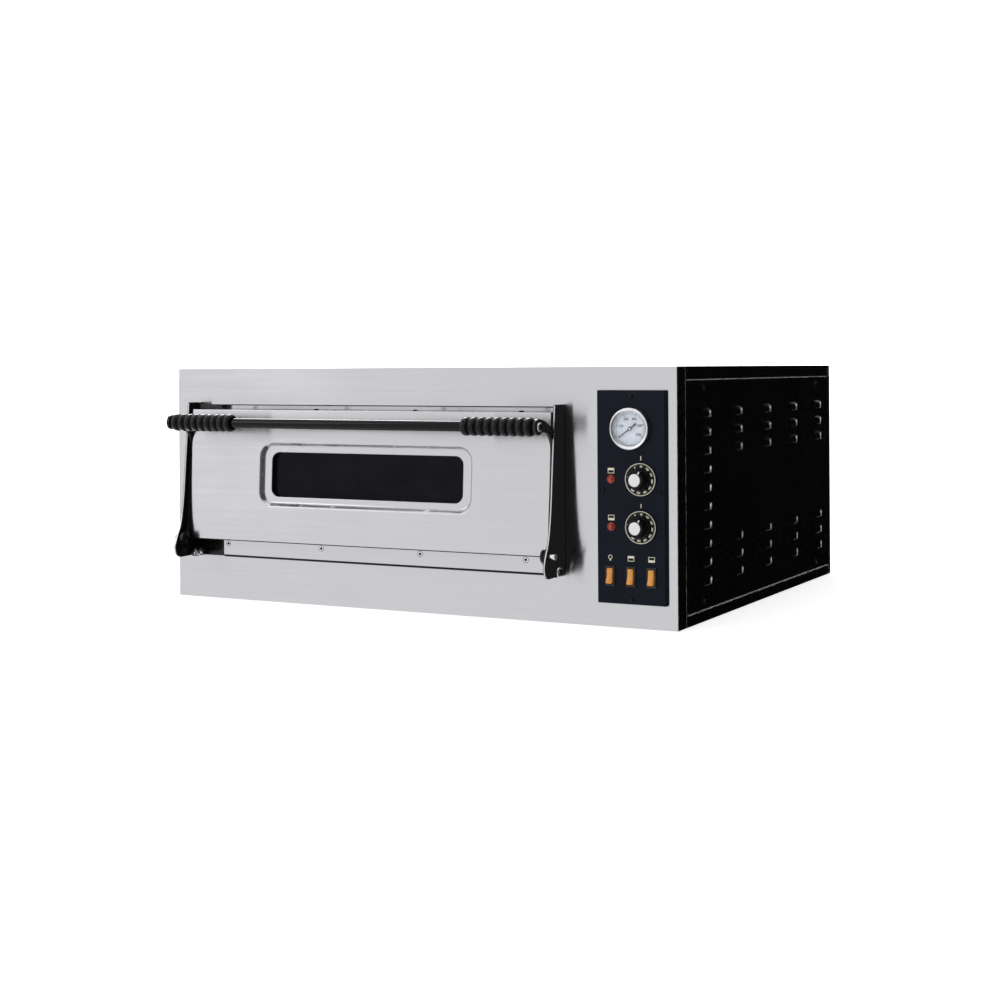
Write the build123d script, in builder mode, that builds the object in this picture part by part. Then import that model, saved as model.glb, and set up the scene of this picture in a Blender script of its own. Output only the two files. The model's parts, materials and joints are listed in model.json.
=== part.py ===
from build123d import *
import math
import os

# Single-deck electric pizza oven, in millimetres, +Z up.
# The door looks towards -Y. The origin is the middle of the casing's underside.

os.makedirs("parts", exist_ok=True)

# --- Casing ---------------------------------------------------------------
BODY_W = 975.0
BODY_D = 814.0
BODY_H = 413.0
SHEET = 1.5
SEAM = 1.0
HALF_W = BODY_W / 2
FRONT = -BODY_D / 2
BACK = BODY_D / 2
SKIN_X = HALF_W - SHEET
INNER_X = SKIN_X - SHEET
SKIN_LAP = 7.0
POST_STRIP_D = 36.0
COVER_FLANGE_H = 22.0
PAN_FLANGE_H = 18.5
REAR_FLANGE_D = 12.0
RAIL_T = 4.0
LAP_T = 2.0
RAIL_H = 32.0
STAND_BOLTS_X = 800.0
STAND_BOLTS_Y = 660.0
STAND_BOLT_R = 4.25

# --- Door opening and chamber ----------------------------------------------
DOOR_X = -74.0
APERTURE_W = 727.0
APERTURE_Z0 = 106.0
APERTURE_Z1 = 348.7
REVEAL_D = 29.5
CHAMBER_W = 660.0
CHAMBER_D = 660.0
MOUTH_Z0 = 155.0
MOUTH_Z1 = 295.0
FRAME_Y = FRONT + 30.0
SHELL_Y0 = FRAME_Y + SHEET
SHELL_Z0 = 118.0
SHELL_Z1 = 313.5
WOOL = 40.0
WOOL_Z0 = 60.0
WOOL_Z1 = 372.0
STONE_T = 16.0
STONE_GAP = 2.0

# --- Heating elements, lamp, vent and inlet ----------------------------------
ELEMENT_R = 3.5
ELEMENT_RUNS = 4
ELEMENT_PITCH = 78.0
ELEMENT_END_X = 318.0
ELEMENT_FRONT_Y = -345.0
ELEMENT_REAR_Y = 5.0
LOWER_Z = 124.5
UPPER_Z = 304.0
LAMP_Y = -290.0
LAMP_Z = 245.0
VENT_BORE_R = 21.8
VENT_R = 23.0
VENT_Z = 250.0
SPIGOT_R = 24.0
SPIGOT_FLANGE_R = 33.0
SPIGOT_LENGTH = 25.0
GLAND_X = 395.0
GLAND_Z = 62.0
GLAND_BORE_R = 7.0

# --- Door ---------------------------------------------------------------------
DOOR_W = 716.0
DOOR_Z0 = 111.0
DOOR_Z1 = 340.0
FACE_LOW_P = 41.0
FACE_TOP_P = 29.0
DOOR_BACK_P = -28.0
PIVOT_P = 24.0
PIVOT_Z = 85.0
PIVOT_R = 5.0
RUN_FIT = 0.05
WINDOW_X = DOOR_X + 4
WINDOW_Z = 228.0
EMBOSS_W = 426.0
EMBOSS_H = 113.0
EMBOSS_R = 27.0
BEVEL = 8.0
GLASS_W = 383.0
GLASS_H = 78.0
GLASS_R = 15.0
GLASS_T = 4.0
GLASS_LAP = 8.0
COLLAR_D = 6.0
COLLAR_T = 1.2
RIM_STEPS = 6
RIM_PROUD = 0.01

# --- Door cheeks and handle ------------------------------------------------------
CHEEK_T = 4.0
CHEEK_IN = APERTURE_W / 2
ARM_T = 5.0
ARM_BOSS_T = 4.0
ARM_BOSS_R = 11.0
ARM_FOOT_P = 48.0
ARM_FOOT_Z = 108.0
ARM_FOOT_R = 17.0
ARM_BOLT_P = 54.5
ARM_BOLT_Z = 112.5
ARM_BOLT_R = 5.0
PIN_REACH = 10.0
ROD_P = 84.0
ROD_Z = 318.5
ROD_R = 8.75
ROD_BORE_R = 7.0
GRIP_R = 15.5
GRIP_GROOVE_R = 13.0
GRIP_RIBS = 9
GRIP_PITCH = 14.1
GRIP_END = 354.6
LUG_R = 9.0
SPACER_P = 8.0
SPACER_R = 4.0

# --- Control panel ------------------------------------------------------------------
PANEL_X = 412.5
PANEL_Z = 207.0
PANEL_W = 116.0
PANEL_H = 337.0
PANEL_P = 8.0
PANEL_T = 2.0
GAUGE_X = 412.5
GAUGE_Z = 315.0
GAUGE_R = 34.0
KNOB_X = 429.5
KNOB_Z = (235.5, 160.5)
STEM_R = 3.0
LAMP_LENS_X = 378.5
SWITCH_X = (376.5, 412.0, 447.0)
SWITCH_Z = 82.0
ROCKER_P = 10.5
ROCKER_R = 12.5
ROCKER_W = 10.0
ROCKER_TILT = 13.0

# --- Louvres and screws ---------------------------------------------------------------
LOUVRE_L = 65.0
LOUVRE_H = 15.0
LOUVRE_OUT = 4.5
LOUVRE_PITCH_Z = 30.2
LOUVRE_TOP_Z = 338.0
LOUVRE_COLUMNS = 5
LOUVRE_PITCH_Y = 152.0
LOUVRE_FIRST_Y = FRONT + 122.0
CASING_SCREW_Y = (FRONT + 115.0, FRONT + 720.0)
CASING_SCREW_Z = (31.5, 378.0)
STRIP_SCREW_PITCH = 199.3


def out(p):
    """The y of a plane p millimetres in front of the fascia."""
    return FRONT - p


def face_p(z):
    """How far the sloping door face stands out at height z."""
    share = (z - DOOR_Z0) / (DOOR_Z1 - DOOR_Z0)
    return FACE_LOW_P + share * (FACE_TOP_P - FACE_LOW_P)


def block(x0, x1, y0, y1, z0, z1, mode=Mode.ADD):
    """A box between two corners, in the part being built."""
    with Locations(((x0 + x1) / 2, (y0 + y1) / 2, (z0 + z1) / 2)):
        Box(abs(x1 - x0), abs(y1 - y0), abs(z1 - z0), mode=mode)


def bar_x(x0, x1, y, z, radius, mode=Mode.ADD):
    """A round bar along X."""
    with Locations(Location(((x0 + x1) / 2, y, z), (0, 90, 0))):
        Cylinder(radius, abs(x1 - x0), mode=mode)


def bar_y(y0, y1, x, z, radius, mode=Mode.ADD):
    """A round bar along Y."""
    with Locations(Location((x, (y0 + y1) / 2, z), (90, 0, 0))):
        Cylinder(radius, abs(y1 - y0), mode=mode)


def bar_z(z0, z1, x, y, radius, mode=Mode.ADD):
    """A round bar along Z."""
    with Locations((x, y, (z0 + z1) / 2)):
        Cylinder(radius, abs(z1 - z0), mode=mode)


def turned_y(x, z, profile, mode=Mode.ADD):
    """A turned shape on a front-to-back axis; profile holds (p, radius) corners."""
    with BuildSketch(Plane.YZ.offset(x)) as outline:
        with BuildLine():
            Polyline(*[(out(p), z + r) for p, r in profile], close=True)
        make_face()
    revolve(outline.sketch, axis=Axis((x, 0, z), (0, 1, 0)), mode=mode)


def turned_x(y, z, profile, mode=Mode.ADD):
    """A turned shape on a left-to-right axis; profile holds (x, radius) corners."""
    with BuildSketch(Plane.XZ.offset(-y)) as outline:
        with BuildLine():
            Polyline(*[(x, z + r) for x, r in profile], close=True)
        make_face()
    revolve(outline.sketch, axis=Axis((0, y, z), (1, 0, 0)), mode=mode)


def casing_screw_points():
    return [(y, z) for y in CASING_SCREW_Y for z in CASING_SCREW_Z]


def louvre_points():
    """(y, z) of each louvre: one full column, then two short groups per column."""
    full = [LOUVRE_TOP_Z - row * LOUVRE_PITCH_Z for row in range(10)]
    short = full[:3] + full[7:]
    points = []
    for column in range(LOUVRE_COLUMNS):
        rows = full if column == 0 else short
        y = LOUVRE_FIRST_Y + column * LOUVRE_PITCH_Y
        points += [(y, z) for z in rows]
    return points


def element_end_points():
    """(y, z) where the heating elements leave the chamber wall."""
    span = (ELEMENT_RUNS - 1) * ELEMENT_PITCH
    starts = (ELEMENT_FRONT_Y, ELEMENT_REAR_Y)
    levels = (LOWER_Z, UPPER_Z)
    return [(y + d, z) for y in starts for d in (0, span) for z in levels]


def strip_screw_xs():
    return [DOOR_X + (i - 1.5) * STRIP_SCREW_PITCH for i in range(4)]


def panel_screw_points():
    half_w = PANEL_W / 2 - 9.5
    return [
        (PANEL_X, PANEL_Z + 158.5),
        (PANEL_X, PANEL_Z - 160.5),
        (PANEL_X - half_w, PANEL_Z + 9),
        (PANEL_X + half_w, PANEL_Z + 9),
    ]


def stand_bolt_points():
    return [(sx * STAND_BOLTS_X / 2, sy * STAND_BOLTS_Y / 2) for sx in (-1, 1) for sy in (-1, 1)]


# ============================ Casing ===========================================

with BuildPart() as casing_frame:
    rail_in = INNER_X - RAIL_T
    for side in (-1, 1):
        # Front post: a strip that laps over the side skin, and a leg behind it.
        block(side * SKIN_X, side * HALF_W, FRONT + SHEET, FRONT + POST_STRIP_D, 0, BODY_H - SHEET)
        block(
            side * INNER_X, side * SKIN_X, FRONT + SHEET, FRONT + POST_STRIP_D - SKIN_LAP - SEAM,
            SHEET, BODY_H - SHEET,
        )
        block(side * (INNER_X - LAP_T), side * INNER_X, FRONT + SHEET, FRONT + 60, SHEET, BODY_H - SHEET)
        # Rear post and the long side rails that carry the side skin.
        block(side * (INNER_X - LAP_T), side * INNER_X, BACK - 50, BACK - 2 * SHEET, SHEET, BODY_H - SHEET)
        for z0 in (14, BODY_H - 16 - RAIL_H):
            block(side * rail_in, side * INNER_X, FRONT + 30, BACK - 30, z0, z0 + RAIL_H)
    for y0 in (FRONT + SHEET, BACK - 2 * SHEET - LAP_T):
        for z0 in (SHEET, BODY_H - SHEET - RAIL_H):
            block(-SKIN_X, SKIN_X, y0, y0 + LAP_T, z0, z0 + RAIL_H)
    for y, z in casing_screw_points():
        bar_x(-HALF_W, HALF_W, y, z, 2.1, Mode.SUBTRACT)
casing_frame.part.label = "casing_frame"
export_step(casing_frame.part, "parts/casing_frame.step")

with BuildPart() as base_pan:
    flange_y0 = FRONT + POST_STRIP_D + SEAM
    flange_y1 = BACK - REAR_FLANGE_D - SEAM
    block(-SKIN_X, SKIN_X, FRONT + SHEET, BACK - SHEET, 0, SHEET)
    block(-SKIN_X, SKIN_X, BACK - 2 * SHEET, BACK - SHEET, 0, PAN_FLANGE_H)
    for side in (-1, 1):
        block(side * SKIN_X, side * HALF_W, flange_y0, flange_y1, 0, PAN_FLANGE_H)
        block(side * (SKIN_X - LAP_T), side * SKIN_X, flange_y0, flange_y1, 0, SHEET)
    with Locations(*[(x, y, SHEET) for x, y in stand_bolt_points()]):
        Hole(STAND_BOLT_R)
base_pan.part.label = "base_pan"
export_step(base_pan.part, "parts/base_pan.step")

with BuildPart() as top_cover:
    block(-HALF_W, HALF_W, FRONT + SHEET, BACK - SHEET, BODY_H - SHEET, BODY_H)
    for side in (-1, 1):
        block(
            side * SKIN_X, side * HALF_W, FRONT + POST_STRIP_D + SEAM,
            BACK - REAR_FLANGE_D - SEAM, BODY_H - COVER_FLANGE_H, BODY_H,
        )
top_cover.part.label = "top_cover"
export_step(top_cover.part, "parts/top_cover.step")

# The side skins sit behind the flanges and carry pressed louvres that open downwards.
for side, label in ((-1, "left_side_panel"), (1, "right_side_panel")):
    hood_plane = Plane(origin=(side * SKIN_X, 0, 0), x_dir=(0, side, 0), z_dir=(side, 0, 0))
    with BuildPart() as side_panel:
        block(
            side * INNER_X, side * SKIN_X, FRONT + POST_STRIP_D - SKIN_LAP,
            BACK - REAR_FLANGE_D + SKIN_LAP, PAN_FLANGE_H - SKIN_LAP, BODY_H - COVER_FLANGE_H + SKIN_LAP,
        )
        with BuildSketch(hood_plane):
            with Locations(*[(side * y, z) for y, z in louvre_points()]):
                RectangleRounded(LOUVRE_L, LOUVRE_H, LOUVRE_H * 0.48)
        extrude(amount=LOUVRE_OUT, taper=38)
        with BuildSketch(hood_plane.offset(LOUVRE_OUT * 0.7)):
            with Locations(*[(side * y, z - 4.6) for y, z in louvre_points()]):
                Rectangle(LOUVRE_L - 20, 3.4)
        extrude(amount=-12, mode=Mode.SUBTRACT)
        for y, z in casing_screw_points():
            bar_x(side * (INNER_X - 1), side * HALF_W, y, z, 2.1, Mode.SUBTRACT)
    side_panel.part.label = label
    export_step(side_panel.part, f"parts/{label}.step")

with BuildPart() as rear_panel:
    block(-HALF_W, HALF_W, BACK - SHEET, BACK, 0, BODY_H)
    for side in (-1, 1):
        block(
            side * SKIN_X, side * HALF_W, BACK - REAR_FLANGE_D, BACK - SHEET, 0, BODY_H - SHEET,
        )
    bar_y(BACK - 3, BACK + 1, DOOR_X, VENT_Z, VENT_R + 0.5, Mode.SUBTRACT)
    bar_y(BACK - 3, BACK + 1, GLAND_X, GLAND_Z, 12.3, Mode.SUBTRACT)
    for row in range(8):
        block(GLAND_X - 40, GLAND_X + 40, BACK - 3, BACK + 1, 180 + row * 24, 186 + row * 24, Mode.SUBTRACT)
    for x in (-HALF_W + 30, HALF_W - 30):
        for z in (24, BODY_H - 24):
            bar_y(BACK - 3, BACK + 1, x, z, 2.1, Mode.SUBTRACT)
rear_panel.part.label = "rear_panel"
export_step(rear_panel.part, "parts/rear_panel.step")

with BuildPart() as casing_screws:
    for side in (-1, 1):
        for y, z in casing_screw_points():
            bar_x(side * (SKIN_X - 7), side * SKIN_X, y, z, 2.0)
            turned_x(y, z, [
                (side * SKIN_X, 0), (side * SKIN_X, 4.5),
                (side * (SKIN_X + 1.2), 4.2), (side * (SKIN_X + 2.4), 2.4), (side * (SKIN_X + 2.6), 0),
            ])
        for z in (24, BODY_H - 24):
            x = side * (HALF_W - 30)
            bar_y(BACK - SHEET, BACK, x, z, 2.0)
            turned_y(x, z, [
                (-BODY_D, 0), (-BODY_D, 4.5), (-BODY_D - 1.2, 4.2), (-BODY_D - 2.4, 2.4), (-BODY_D - 2.6, 0),
            ])
casing_screws.part.label = "casing_screws"
export_step(casing_screws.part, "parts/casing_screws.step")

# ============================ Front fascia and sill ============================

AP_X0 = DOOR_X - APERTURE_W / 2
AP_X1 = DOOR_X + APERTURE_W / 2

with BuildPart() as front_fascia:
    block(-HALF_W, HALF_W, FRONT, FRONT + SHEET, 0, BODY_H)
    block(AP_X0 - SHEET, AP_X1 + SHEET, FRONT, FRONT + REVEAL_D, APERTURE_Z0 - SHEET, APERTURE_Z1 + SHEET)
    block(AP_X0, AP_X1, FRONT - 1, FRONT + REVEAL_D + 1, APERTURE_Z0, APERTURE_Z1, Mode.SUBTRACT)
    block(PANEL_X - 45, PANEL_X + 45, FRONT - 1, FRONT + 3, 54, 356, Mode.SUBTRACT)
    for x in strip_screw_xs():
        bar_y(FRONT - 1, FRONT + 3, x, 99.5, 2.1, Mode.SUBTRACT)
    for x, z in panel_screw_points():
        bar_y(FRONT - 1, FRONT + 3, x, z, 2.1, Mode.SUBTRACT)
front_fascia.part.label = "front_fascia"
export_step(front_fascia.part, "parts/front_fascia.step")

STRIP_X0 = -383.0
STRIP_X1 = 264.0
STRIP_Z0 = 79.0
STRIP_Z1 = 108.0
STRIP_P = 5.0

with BuildPart() as sill_strip:
    block(STRIP_X0, STRIP_X1, out(STRIP_P), FRONT, STRIP_Z0, STRIP_Z1)
    fillet(sill_strip.edges().filter_by(Axis.X).group_by(Axis.Y)[0], 1.5)
    for x in strip_screw_xs():
        turned_y(
            x, 99.5, [(STRIP_P, 0), (STRIP_P, 4.7), (STRIP_P - 2.5, 2.2), (0, 2.2), (0, 0)], Mode.SUBTRACT,
        )
sill_strip.part.label = "sill_strip"
export_step(sill_strip.part, "parts/sill_strip.step")

with BuildPart() as sill_screws:
    for x in strip_screw_xs():
        turned_y(x, 99.5, [
            (-7, 0), (-7, 2.0), (STRIP_P - 2.5, 2.0), (STRIP_P - 0.1, 4.4), (STRIP_P - 0.1, 2.4),
            (STRIP_P - 1.3, 1.6), (STRIP_P - 1.3, 0),
        ])
sill_screws.part.label = "sill_screws"
export_step(sill_screws.part, "parts/sill_screws.step")

# ============================ Chamber ==========================================

SHELL_X0 = DOOR_X - CHAMBER_W / 2 - SHEET
SHELL_X1 = DOOR_X + CHAMBER_W / 2 + SHEET
SHELL_Y1 = SHELL_Y0 + CHAMBER_D + SHEET

with BuildPart() as chamber_front_frame:
    block(AP_X0 - 3, AP_X1 + 3, FRAME_Y, FRAME_Y + SHEET, APERTURE_Z0 - 6, APERTURE_Z1 + 6)
    block(
        DOOR_X - CHAMBER_W / 2, DOOR_X + CHAMBER_W / 2, FRAME_Y - 1, FRAME_Y + 3,
        MOUTH_Z0, MOUTH_Z1, Mode.SUBTRACT,
    )
chamber_front_frame.part.label = "chamber_front_frame"
export_step(chamber_front_frame.part, "parts/chamber_front_frame.step")

with BuildPart() as chamber_shell:
    block(SHELL_X0, SHELL_X1, SHELL_Y0, SHELL_Y1, SHELL_Z0, SHELL_Z1)
    block(
        SHELL_X0 + SHEET, SHELL_X1 - SHEET, SHELL_Y0 - 1, SHELL_Y1 - SHEET,
        SHELL_Z0 + SHEET, SHELL_Z1 - SHEET, Mode.SUBTRACT,
    )
    for y, z in element_end_points():
        bar_x(SHELL_X1 - 3, SHELL_X1 + 1, y, z, ELEMENT_R + 0.3, Mode.SUBTRACT)
    bar_x(SHELL_X1 - 3, SHELL_X1 + 1, LAMP_Y, LAMP_Z, 20.3, Mode.SUBTRACT)
    bar_y(SHELL_Y1 - 3, SHELL_Y1 + 1, DOOR_X, VENT_Z, VENT_R + 0.3, Mode.SUBTRACT)
chamber_shell.part.label = "chamber_shell"
export_step(chamber_shell.part, "parts/chamber_shell.step")

# Two refractory slabs side by side on a ladder of flat bars.
stone_w = (CHAMBER_W - 3 * STONE_GAP) / 2
with BuildPart() as deck_stones:
    for side in (-1, 1):
        x_mid = DOOR_X + side * (stone_w + STONE_GAP) / 2
        block(
            x_mid - stone_w / 2, x_mid + stone_w / 2, SHELL_Y0 + 4, SHELL_Y1 - SHEET - 4,
            MOUTH_Z0 - STONE_T, MOUTH_Z0,
        )
    chamfer(deck_stones.edges().group_by(Axis.Z)[-1], 1.5)
deck_stones.part.label = "deck_stones"
export_step(deck_stones.part, "parts/deck_stones.step")

with BuildPart() as deck_supports:
    ladder_z0 = MOUTH_Z0 - STONE_T - 8
    for y in (SHELL_Y0 + 20, (SHELL_Y0 + SHELL_Y1) / 2, SHELL_Y1 - 22):
        block(SHELL_X0 + 2, SHELL_X1 - 2, y - 6, y + 6, ladder_z0, ladder_z0 + 8)
    for x in (SHELL_X0 + 8, DOOR_X, SHELL_X1 - 8):
        block(x - 6, x + 6, SHELL_Y0 + 14, SHELL_Y1 - 16, ladder_z0, ladder_z0 + 8)
deck_supports.part.label = "deck_supports"
export_step(deck_supports.part, "parts/deck_supports.step")

# Tubular heating elements: straight runs joined by U bends, both ends at the right.
for label, z in (("lower_elements", LOWER_Z), ("upper_elements", UPPER_Z)):
    left_x = SHELL_X0 + 60
    right_x = SHELL_X1 - 60
    with BuildPart() as elements:
        for y_start in (ELEMENT_FRONT_Y, ELEMENT_REAR_Y):
            with BuildLine(Plane.XY.offset(z)) as route:
                for run in range(ELEMENT_RUNS):
                    y = y_start + run * ELEMENT_PITCH
                    x_right = ELEMENT_END_X if run in (0, ELEMENT_RUNS - 1) else right_x
                    Line((left_x, y), (x_right, y))
                for run in range(ELEMENT_RUNS - 1):
                    y_mid = y_start + (run + 0.5) * ELEMENT_PITCH
                    if run % 2 == 0:
                        CenterArc((left_x, y_mid), ELEMENT_PITCH / 2, 90, 180)
                    else:
                        CenterArc((right_x, y_mid), ELEMENT_PITCH / 2, -90, 180)
            with BuildSketch(Plane(origin=(ELEMENT_END_X, y_start, z), z_dir=(-1, 0, 0))) as tube:
                Circle(ELEMENT_R)
            sweep(tube.sketch, path=route.wires()[0])
    elements.part.label = label
    export_step(elements.part, f"parts/{label}.step")

# Wool: a jacket round the shell and a slab behind it.
with BuildPart() as chamber_insulation:
    block(SHELL_X0 - WOOL, SHELL_X1 + WOOL, SHELL_Y0 + 1, SHELL_Y1, WOOL_Z0, WOOL_Z1)
    block(SHELL_X0, SHELL_X1, SHELL_Y0, SHELL_Y1 + 1, SHELL_Z0, SHELL_Z1, Mode.SUBTRACT)
    block(SHELL_X0 - WOOL, SHELL_X1 + WOOL, SHELL_Y1 + 0.5, SHELL_Y1 + WOOL, WOOL_Z0, WOOL_Z1)
    for y, z in element_end_points():
        bar_x(SHELL_X1 - 1, SHELL_X1 + WOOL + 1, y, z, ELEMENT_R + 1, Mode.SUBTRACT)
    bar_x(SHELL_X1 - 1, SHELL_X1 + WOOL + 1, LAMP_Y, LAMP_Z, 26, Mode.SUBTRACT)
    bar_y(SHELL_Y1, SHELL_Y1 + WOOL + 1, DOOR_X, VENT_Z, VENT_R + 1, Mode.SUBTRACT)
chamber_insulation.part.label = "chamber_insulation"
export_step(chamber_insulation.part, "parts/chamber_insulation.step")

# Channel beams carry the chamber on the base pan.
with BuildPart() as support_beams:
    for y_mid in (-230.0, 170.0):
        block(SHELL_X0, SHELL_X1, y_mid - 25, y_mid + 25, SHEET, WOOL_Z0)
        block(SHELL_X0 - 1, SHELL_X1 + 1, y_mid - 23, y_mid + 23, SHEET - 1, WOOL_Z0 - 2, Mode.SUBTRACT)
support_beams.part.label = "support_beams"
export_step(support_beams.part, "parts/support_beams.step")

PARTITION_X = SHELL_X1 + WOOL + 2

with BuildPart() as bay_partition:
    block(PARTITION_X, PARTITION_X + SHEET, FRONT + 8, BACK - 10, SHEET + 33, BODY_H - 36)
    for y, z in element_end_points():
        bar_x(PARTITION_X - 1, PARTITION_X + 3, y, z, ELEMENT_R + 2, Mode.SUBTRACT)
bay_partition.part.label = "bay_partition"
export_step(bay_partition.part, "parts/bay_partition.step")

# Chamber lamp: a cup in the wall, a bulb and a screwed glass.
with BuildPart() as chamber_lamp_housing:
    bar_x(SHELL_X1 - SHEET, SHELL_X1 + 36, LAMP_Y, LAMP_Z, 20)
    bar_x(SHELL_X1, SHELL_X1 + 3, LAMP_Y, LAMP_Z, 25)
    bar_x(SHELL_X1 - 3, SHELL_X1 + 34, LAMP_Y, LAMP_Z, 18, Mode.SUBTRACT)
chamber_lamp_housing.part.label = "chamber_lamp_housing"
export_step(chamber_lamp_housing.part, "parts/chamber_lamp_housing.step")

with BuildPart() as chamber_lamp_bulb:
    turned_x(LAMP_Y, LAMP_Z, [
        (SHELL_X1 + 34, 0), (SHELL_X1 + 34, 7), (SHELL_X1 + 24, 7), (SHELL_X1 + 18, 11),
        (SHELL_X1 + 10, 11), (SHELL_X1 + 5, 6), (SHELL_X1 + 4, 0),
    ])
chamber_lamp_bulb.part.label = "chamber_lamp_bulb"
export_step(chamber_lamp_bulb.part, "parts/chamber_lamp_bulb.step")

with BuildPart() as chamber_lamp_glass:
    turned_x(LAMP_Y, LAMP_Z, [
        (SHELL_X1 + 2, 17.8), (SHELL_X1 - 5, 17.8), (SHELL_X1 - 7, 15), (SHELL_X1 - 8, 0),
        (SHELL_X1 - 5.5, 0), (SHELL_X1 - 4.5, 13.5), (SHELL_X1 - 3, 15), (SHELL_X1 + 2, 15),
    ])
chamber_lamp_glass.part.label = "chamber_lamp_glass"
export_step(chamber_lamp_glass.part, "parts/chamber_lamp_glass.step")

# Steam outlet: a pipe through the back, with a flange and a thicker spigot outside.
with BuildPart() as vent_pipe:
    bar_y(SHELL_Y1 - SHEET, BACK, DOOR_X, VENT_Z, VENT_R)
    bar_y(BACK, BACK + 2, DOOR_X, VENT_Z, SPIGOT_FLANGE_R)
    bar_y(BACK + 2, BACK + SPIGOT_LENGTH, DOOR_X, VENT_Z, SPIGOT_R)
    bar_y(SHELL_Y1 - 5, BACK + SPIGOT_LENGTH + 1, DOOR_X, VENT_Z, VENT_BORE_R, Mode.SUBTRACT)
vent_pipe.part.label = "vent_pipe"
export_step(vent_pipe.part, "parts/vent_pipe.step")

# ============================ Electrical bay ===================================

BAY_X = PARTITION_X + SHEET

with BuildPart() as contactor:
    block(BAY_X, BAY_X + 34, 0, 48, 150, 226)
    block(BAY_X + 34, BAY_X + 56, 4, 44, 164, 212)
    for z in (157, 219):
        for y in (10, 24, 38):
            bar_x(BAY_X + 30, BAY_X + 38, y, z, 3.2)
contactor.part.label = "contactor"
export_step(contactor.part, "parts/contactor.step")

with BuildPart() as terminal_block:
    block(BAY_X, BAY_X + 20, 290, 370, 60, 96)
    for row in range(5):
        block(BAY_X + 10, BAY_X + 21, 303 + row * 14, 304.5 + row * 14, 55, 101, Mode.SUBTRACT)
        for z in (68, 88):
            bar_x(BAY_X + 14, BAY_X + 21, 297 + row * 14, z, 3, Mode.SUBTRACT)
terminal_block.part.label = "terminal_block"
export_step(terminal_block.part, "parts/terminal_block.step")

with BuildPart() as cable_gland:
    bar_y(BACK - 14, BACK + 22, GLAND_X, GLAND_Z, 12)
    with BuildSketch(Plane.XZ.offset(-BACK)) as gland_hexes:
        with Locations((GLAND_X, GLAND_Z)):
            RegularPolygon(16, 6)
    extrude(gland_hexes.sketch, amount=-9)
    with BuildSketch(Plane.XZ.offset(-BACK + 2)) as lock_nut:
        with Locations((GLAND_X, GLAND_Z)):
            RegularPolygon(16, 6)
    extrude(lock_nut.sketch, amount=5)
    bar_y(BACK - 20, BACK + 30, GLAND_X, GLAND_Z, GLAND_BORE_R, Mode.SUBTRACT)
cable_gland.part.label = "cable_gland"
export_step(cable_gland.part, "parts/cable_gland.step")

# ============================ Control panel ====================================

with BuildPart() as control_panel:
    px0, px1 = PANEL_X - PANEL_W / 2, PANEL_X + PANEL_W / 2
    pz0, pz1 = PANEL_Z - PANEL_H / 2, PANEL_Z + PANEL_H / 2
    block(px0, px1, out(PANEL_P), FRONT, pz0, pz1)
    chamfer(control_panel.faces().sort_by(Axis.Y)[0].edges(), 1.0)
    block(
        px0 + PANEL_T, px1 - PANEL_T, out(PANEL_P - PANEL_T), FRONT + 1,
        pz0 + PANEL_T, pz1 - PANEL_T, Mode.SUBTRACT,
    )
    bar_y(out(PANEL_P + 1), FRONT, GAUGE_X, GAUGE_Z, 30.4, Mode.SUBTRACT)
    for z in KNOB_Z:
        bar_y(out(PANEL_P + 1), FRONT, KNOB_X, z, STEM_R + 1, Mode.SUBTRACT)
        bar_y(out(PANEL_P + 1), FRONT, LAMP_LENS_X, z - 0.5, 5.3, Mode.SUBTRACT)
    for x in SWITCH_X:
        block(
            x - 7.2, x + 7.2, out(PANEL_P + 1), FRONT, SWITCH_Z - 14.2, SWITCH_Z + 14.2, Mode.SUBTRACT,
        )
    for x, z in panel_screw_points():
        bar_y(out(PANEL_P + 1), FRONT, x, z, 2.1, Mode.SUBTRACT)
control_panel.part.label = "control_panel"
export_step(control_panel.part, "parts/control_panel.step")

with BuildPart() as panel_screws:
    for x, z in panel_screw_points():
        turned_y(x, z, [
            (-8, 0), (-8, 2.0), (PANEL_P, 2.0), (PANEL_P, 4.0), (PANEL_P + 1.2, 3.7),
            (PANEL_P + 2.2, 2.2), (PANEL_P + 1.2, 1.2), (PANEL_P + 1.2, 0),
        ])
panel_screws.part.label = "panel_screws"
export_step(panel_screws.part, "parts/panel_screws.step")

GLASS_P = PANEL_P + 6.0
DIAL_P = PANEL_P + 1.0
NEEDLE_P = PANEL_P + 3.0

with BuildPart() as gauge_case:
    turned_y(GAUGE_X, GAUGE_Z, [
        (-22, 0), (-22, 30), (PANEL_P, 30), (PANEL_P, GAUGE_R), (PANEL_P + 6, GAUGE_R),
        (PANEL_P + 9, GAUGE_R - 2), (PANEL_P + 9, GAUGE_R - 5), (GLASS_P + 1.7, 27.2),
        (GLASS_P + 1.7, 29.2), (DIAL_P - 1, 29.2), (DIAL_P - 1, 0),
    ])
    bar_y(out(DIAL_P - 5), out(DIAL_P), GAUGE_X, GAUGE_Z, 1.6, Mode.SUBTRACT)
gauge_case.part.label = "gauge_case"
export_step(gauge_case.part, "parts/gauge_case.step")

with BuildPart() as gauge_dial:
    bar_y(out(DIAL_P), out(DIAL_P - 1), GAUGE_X, GAUGE_Z, 29.1)
    bar_y(out(DIAL_P + 1), out(DIAL_P - 2), GAUGE_X, GAUGE_Z, 1.0 + RUN_FIT, Mode.SUBTRACT)
gauge_dial.part.label = "gauge_dial"
export_step(gauge_dial.part, "parts/gauge_dial.step")

with BuildPart() as gauge_glass:
    bar_y(out(GLASS_P + 1.5), out(GLASS_P), GAUGE_X, GAUGE_Z, 29.1)
gauge_glass.part.label = "gauge_glass"
export_step(gauge_glass.part, "parts/gauge_glass.step")

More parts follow.
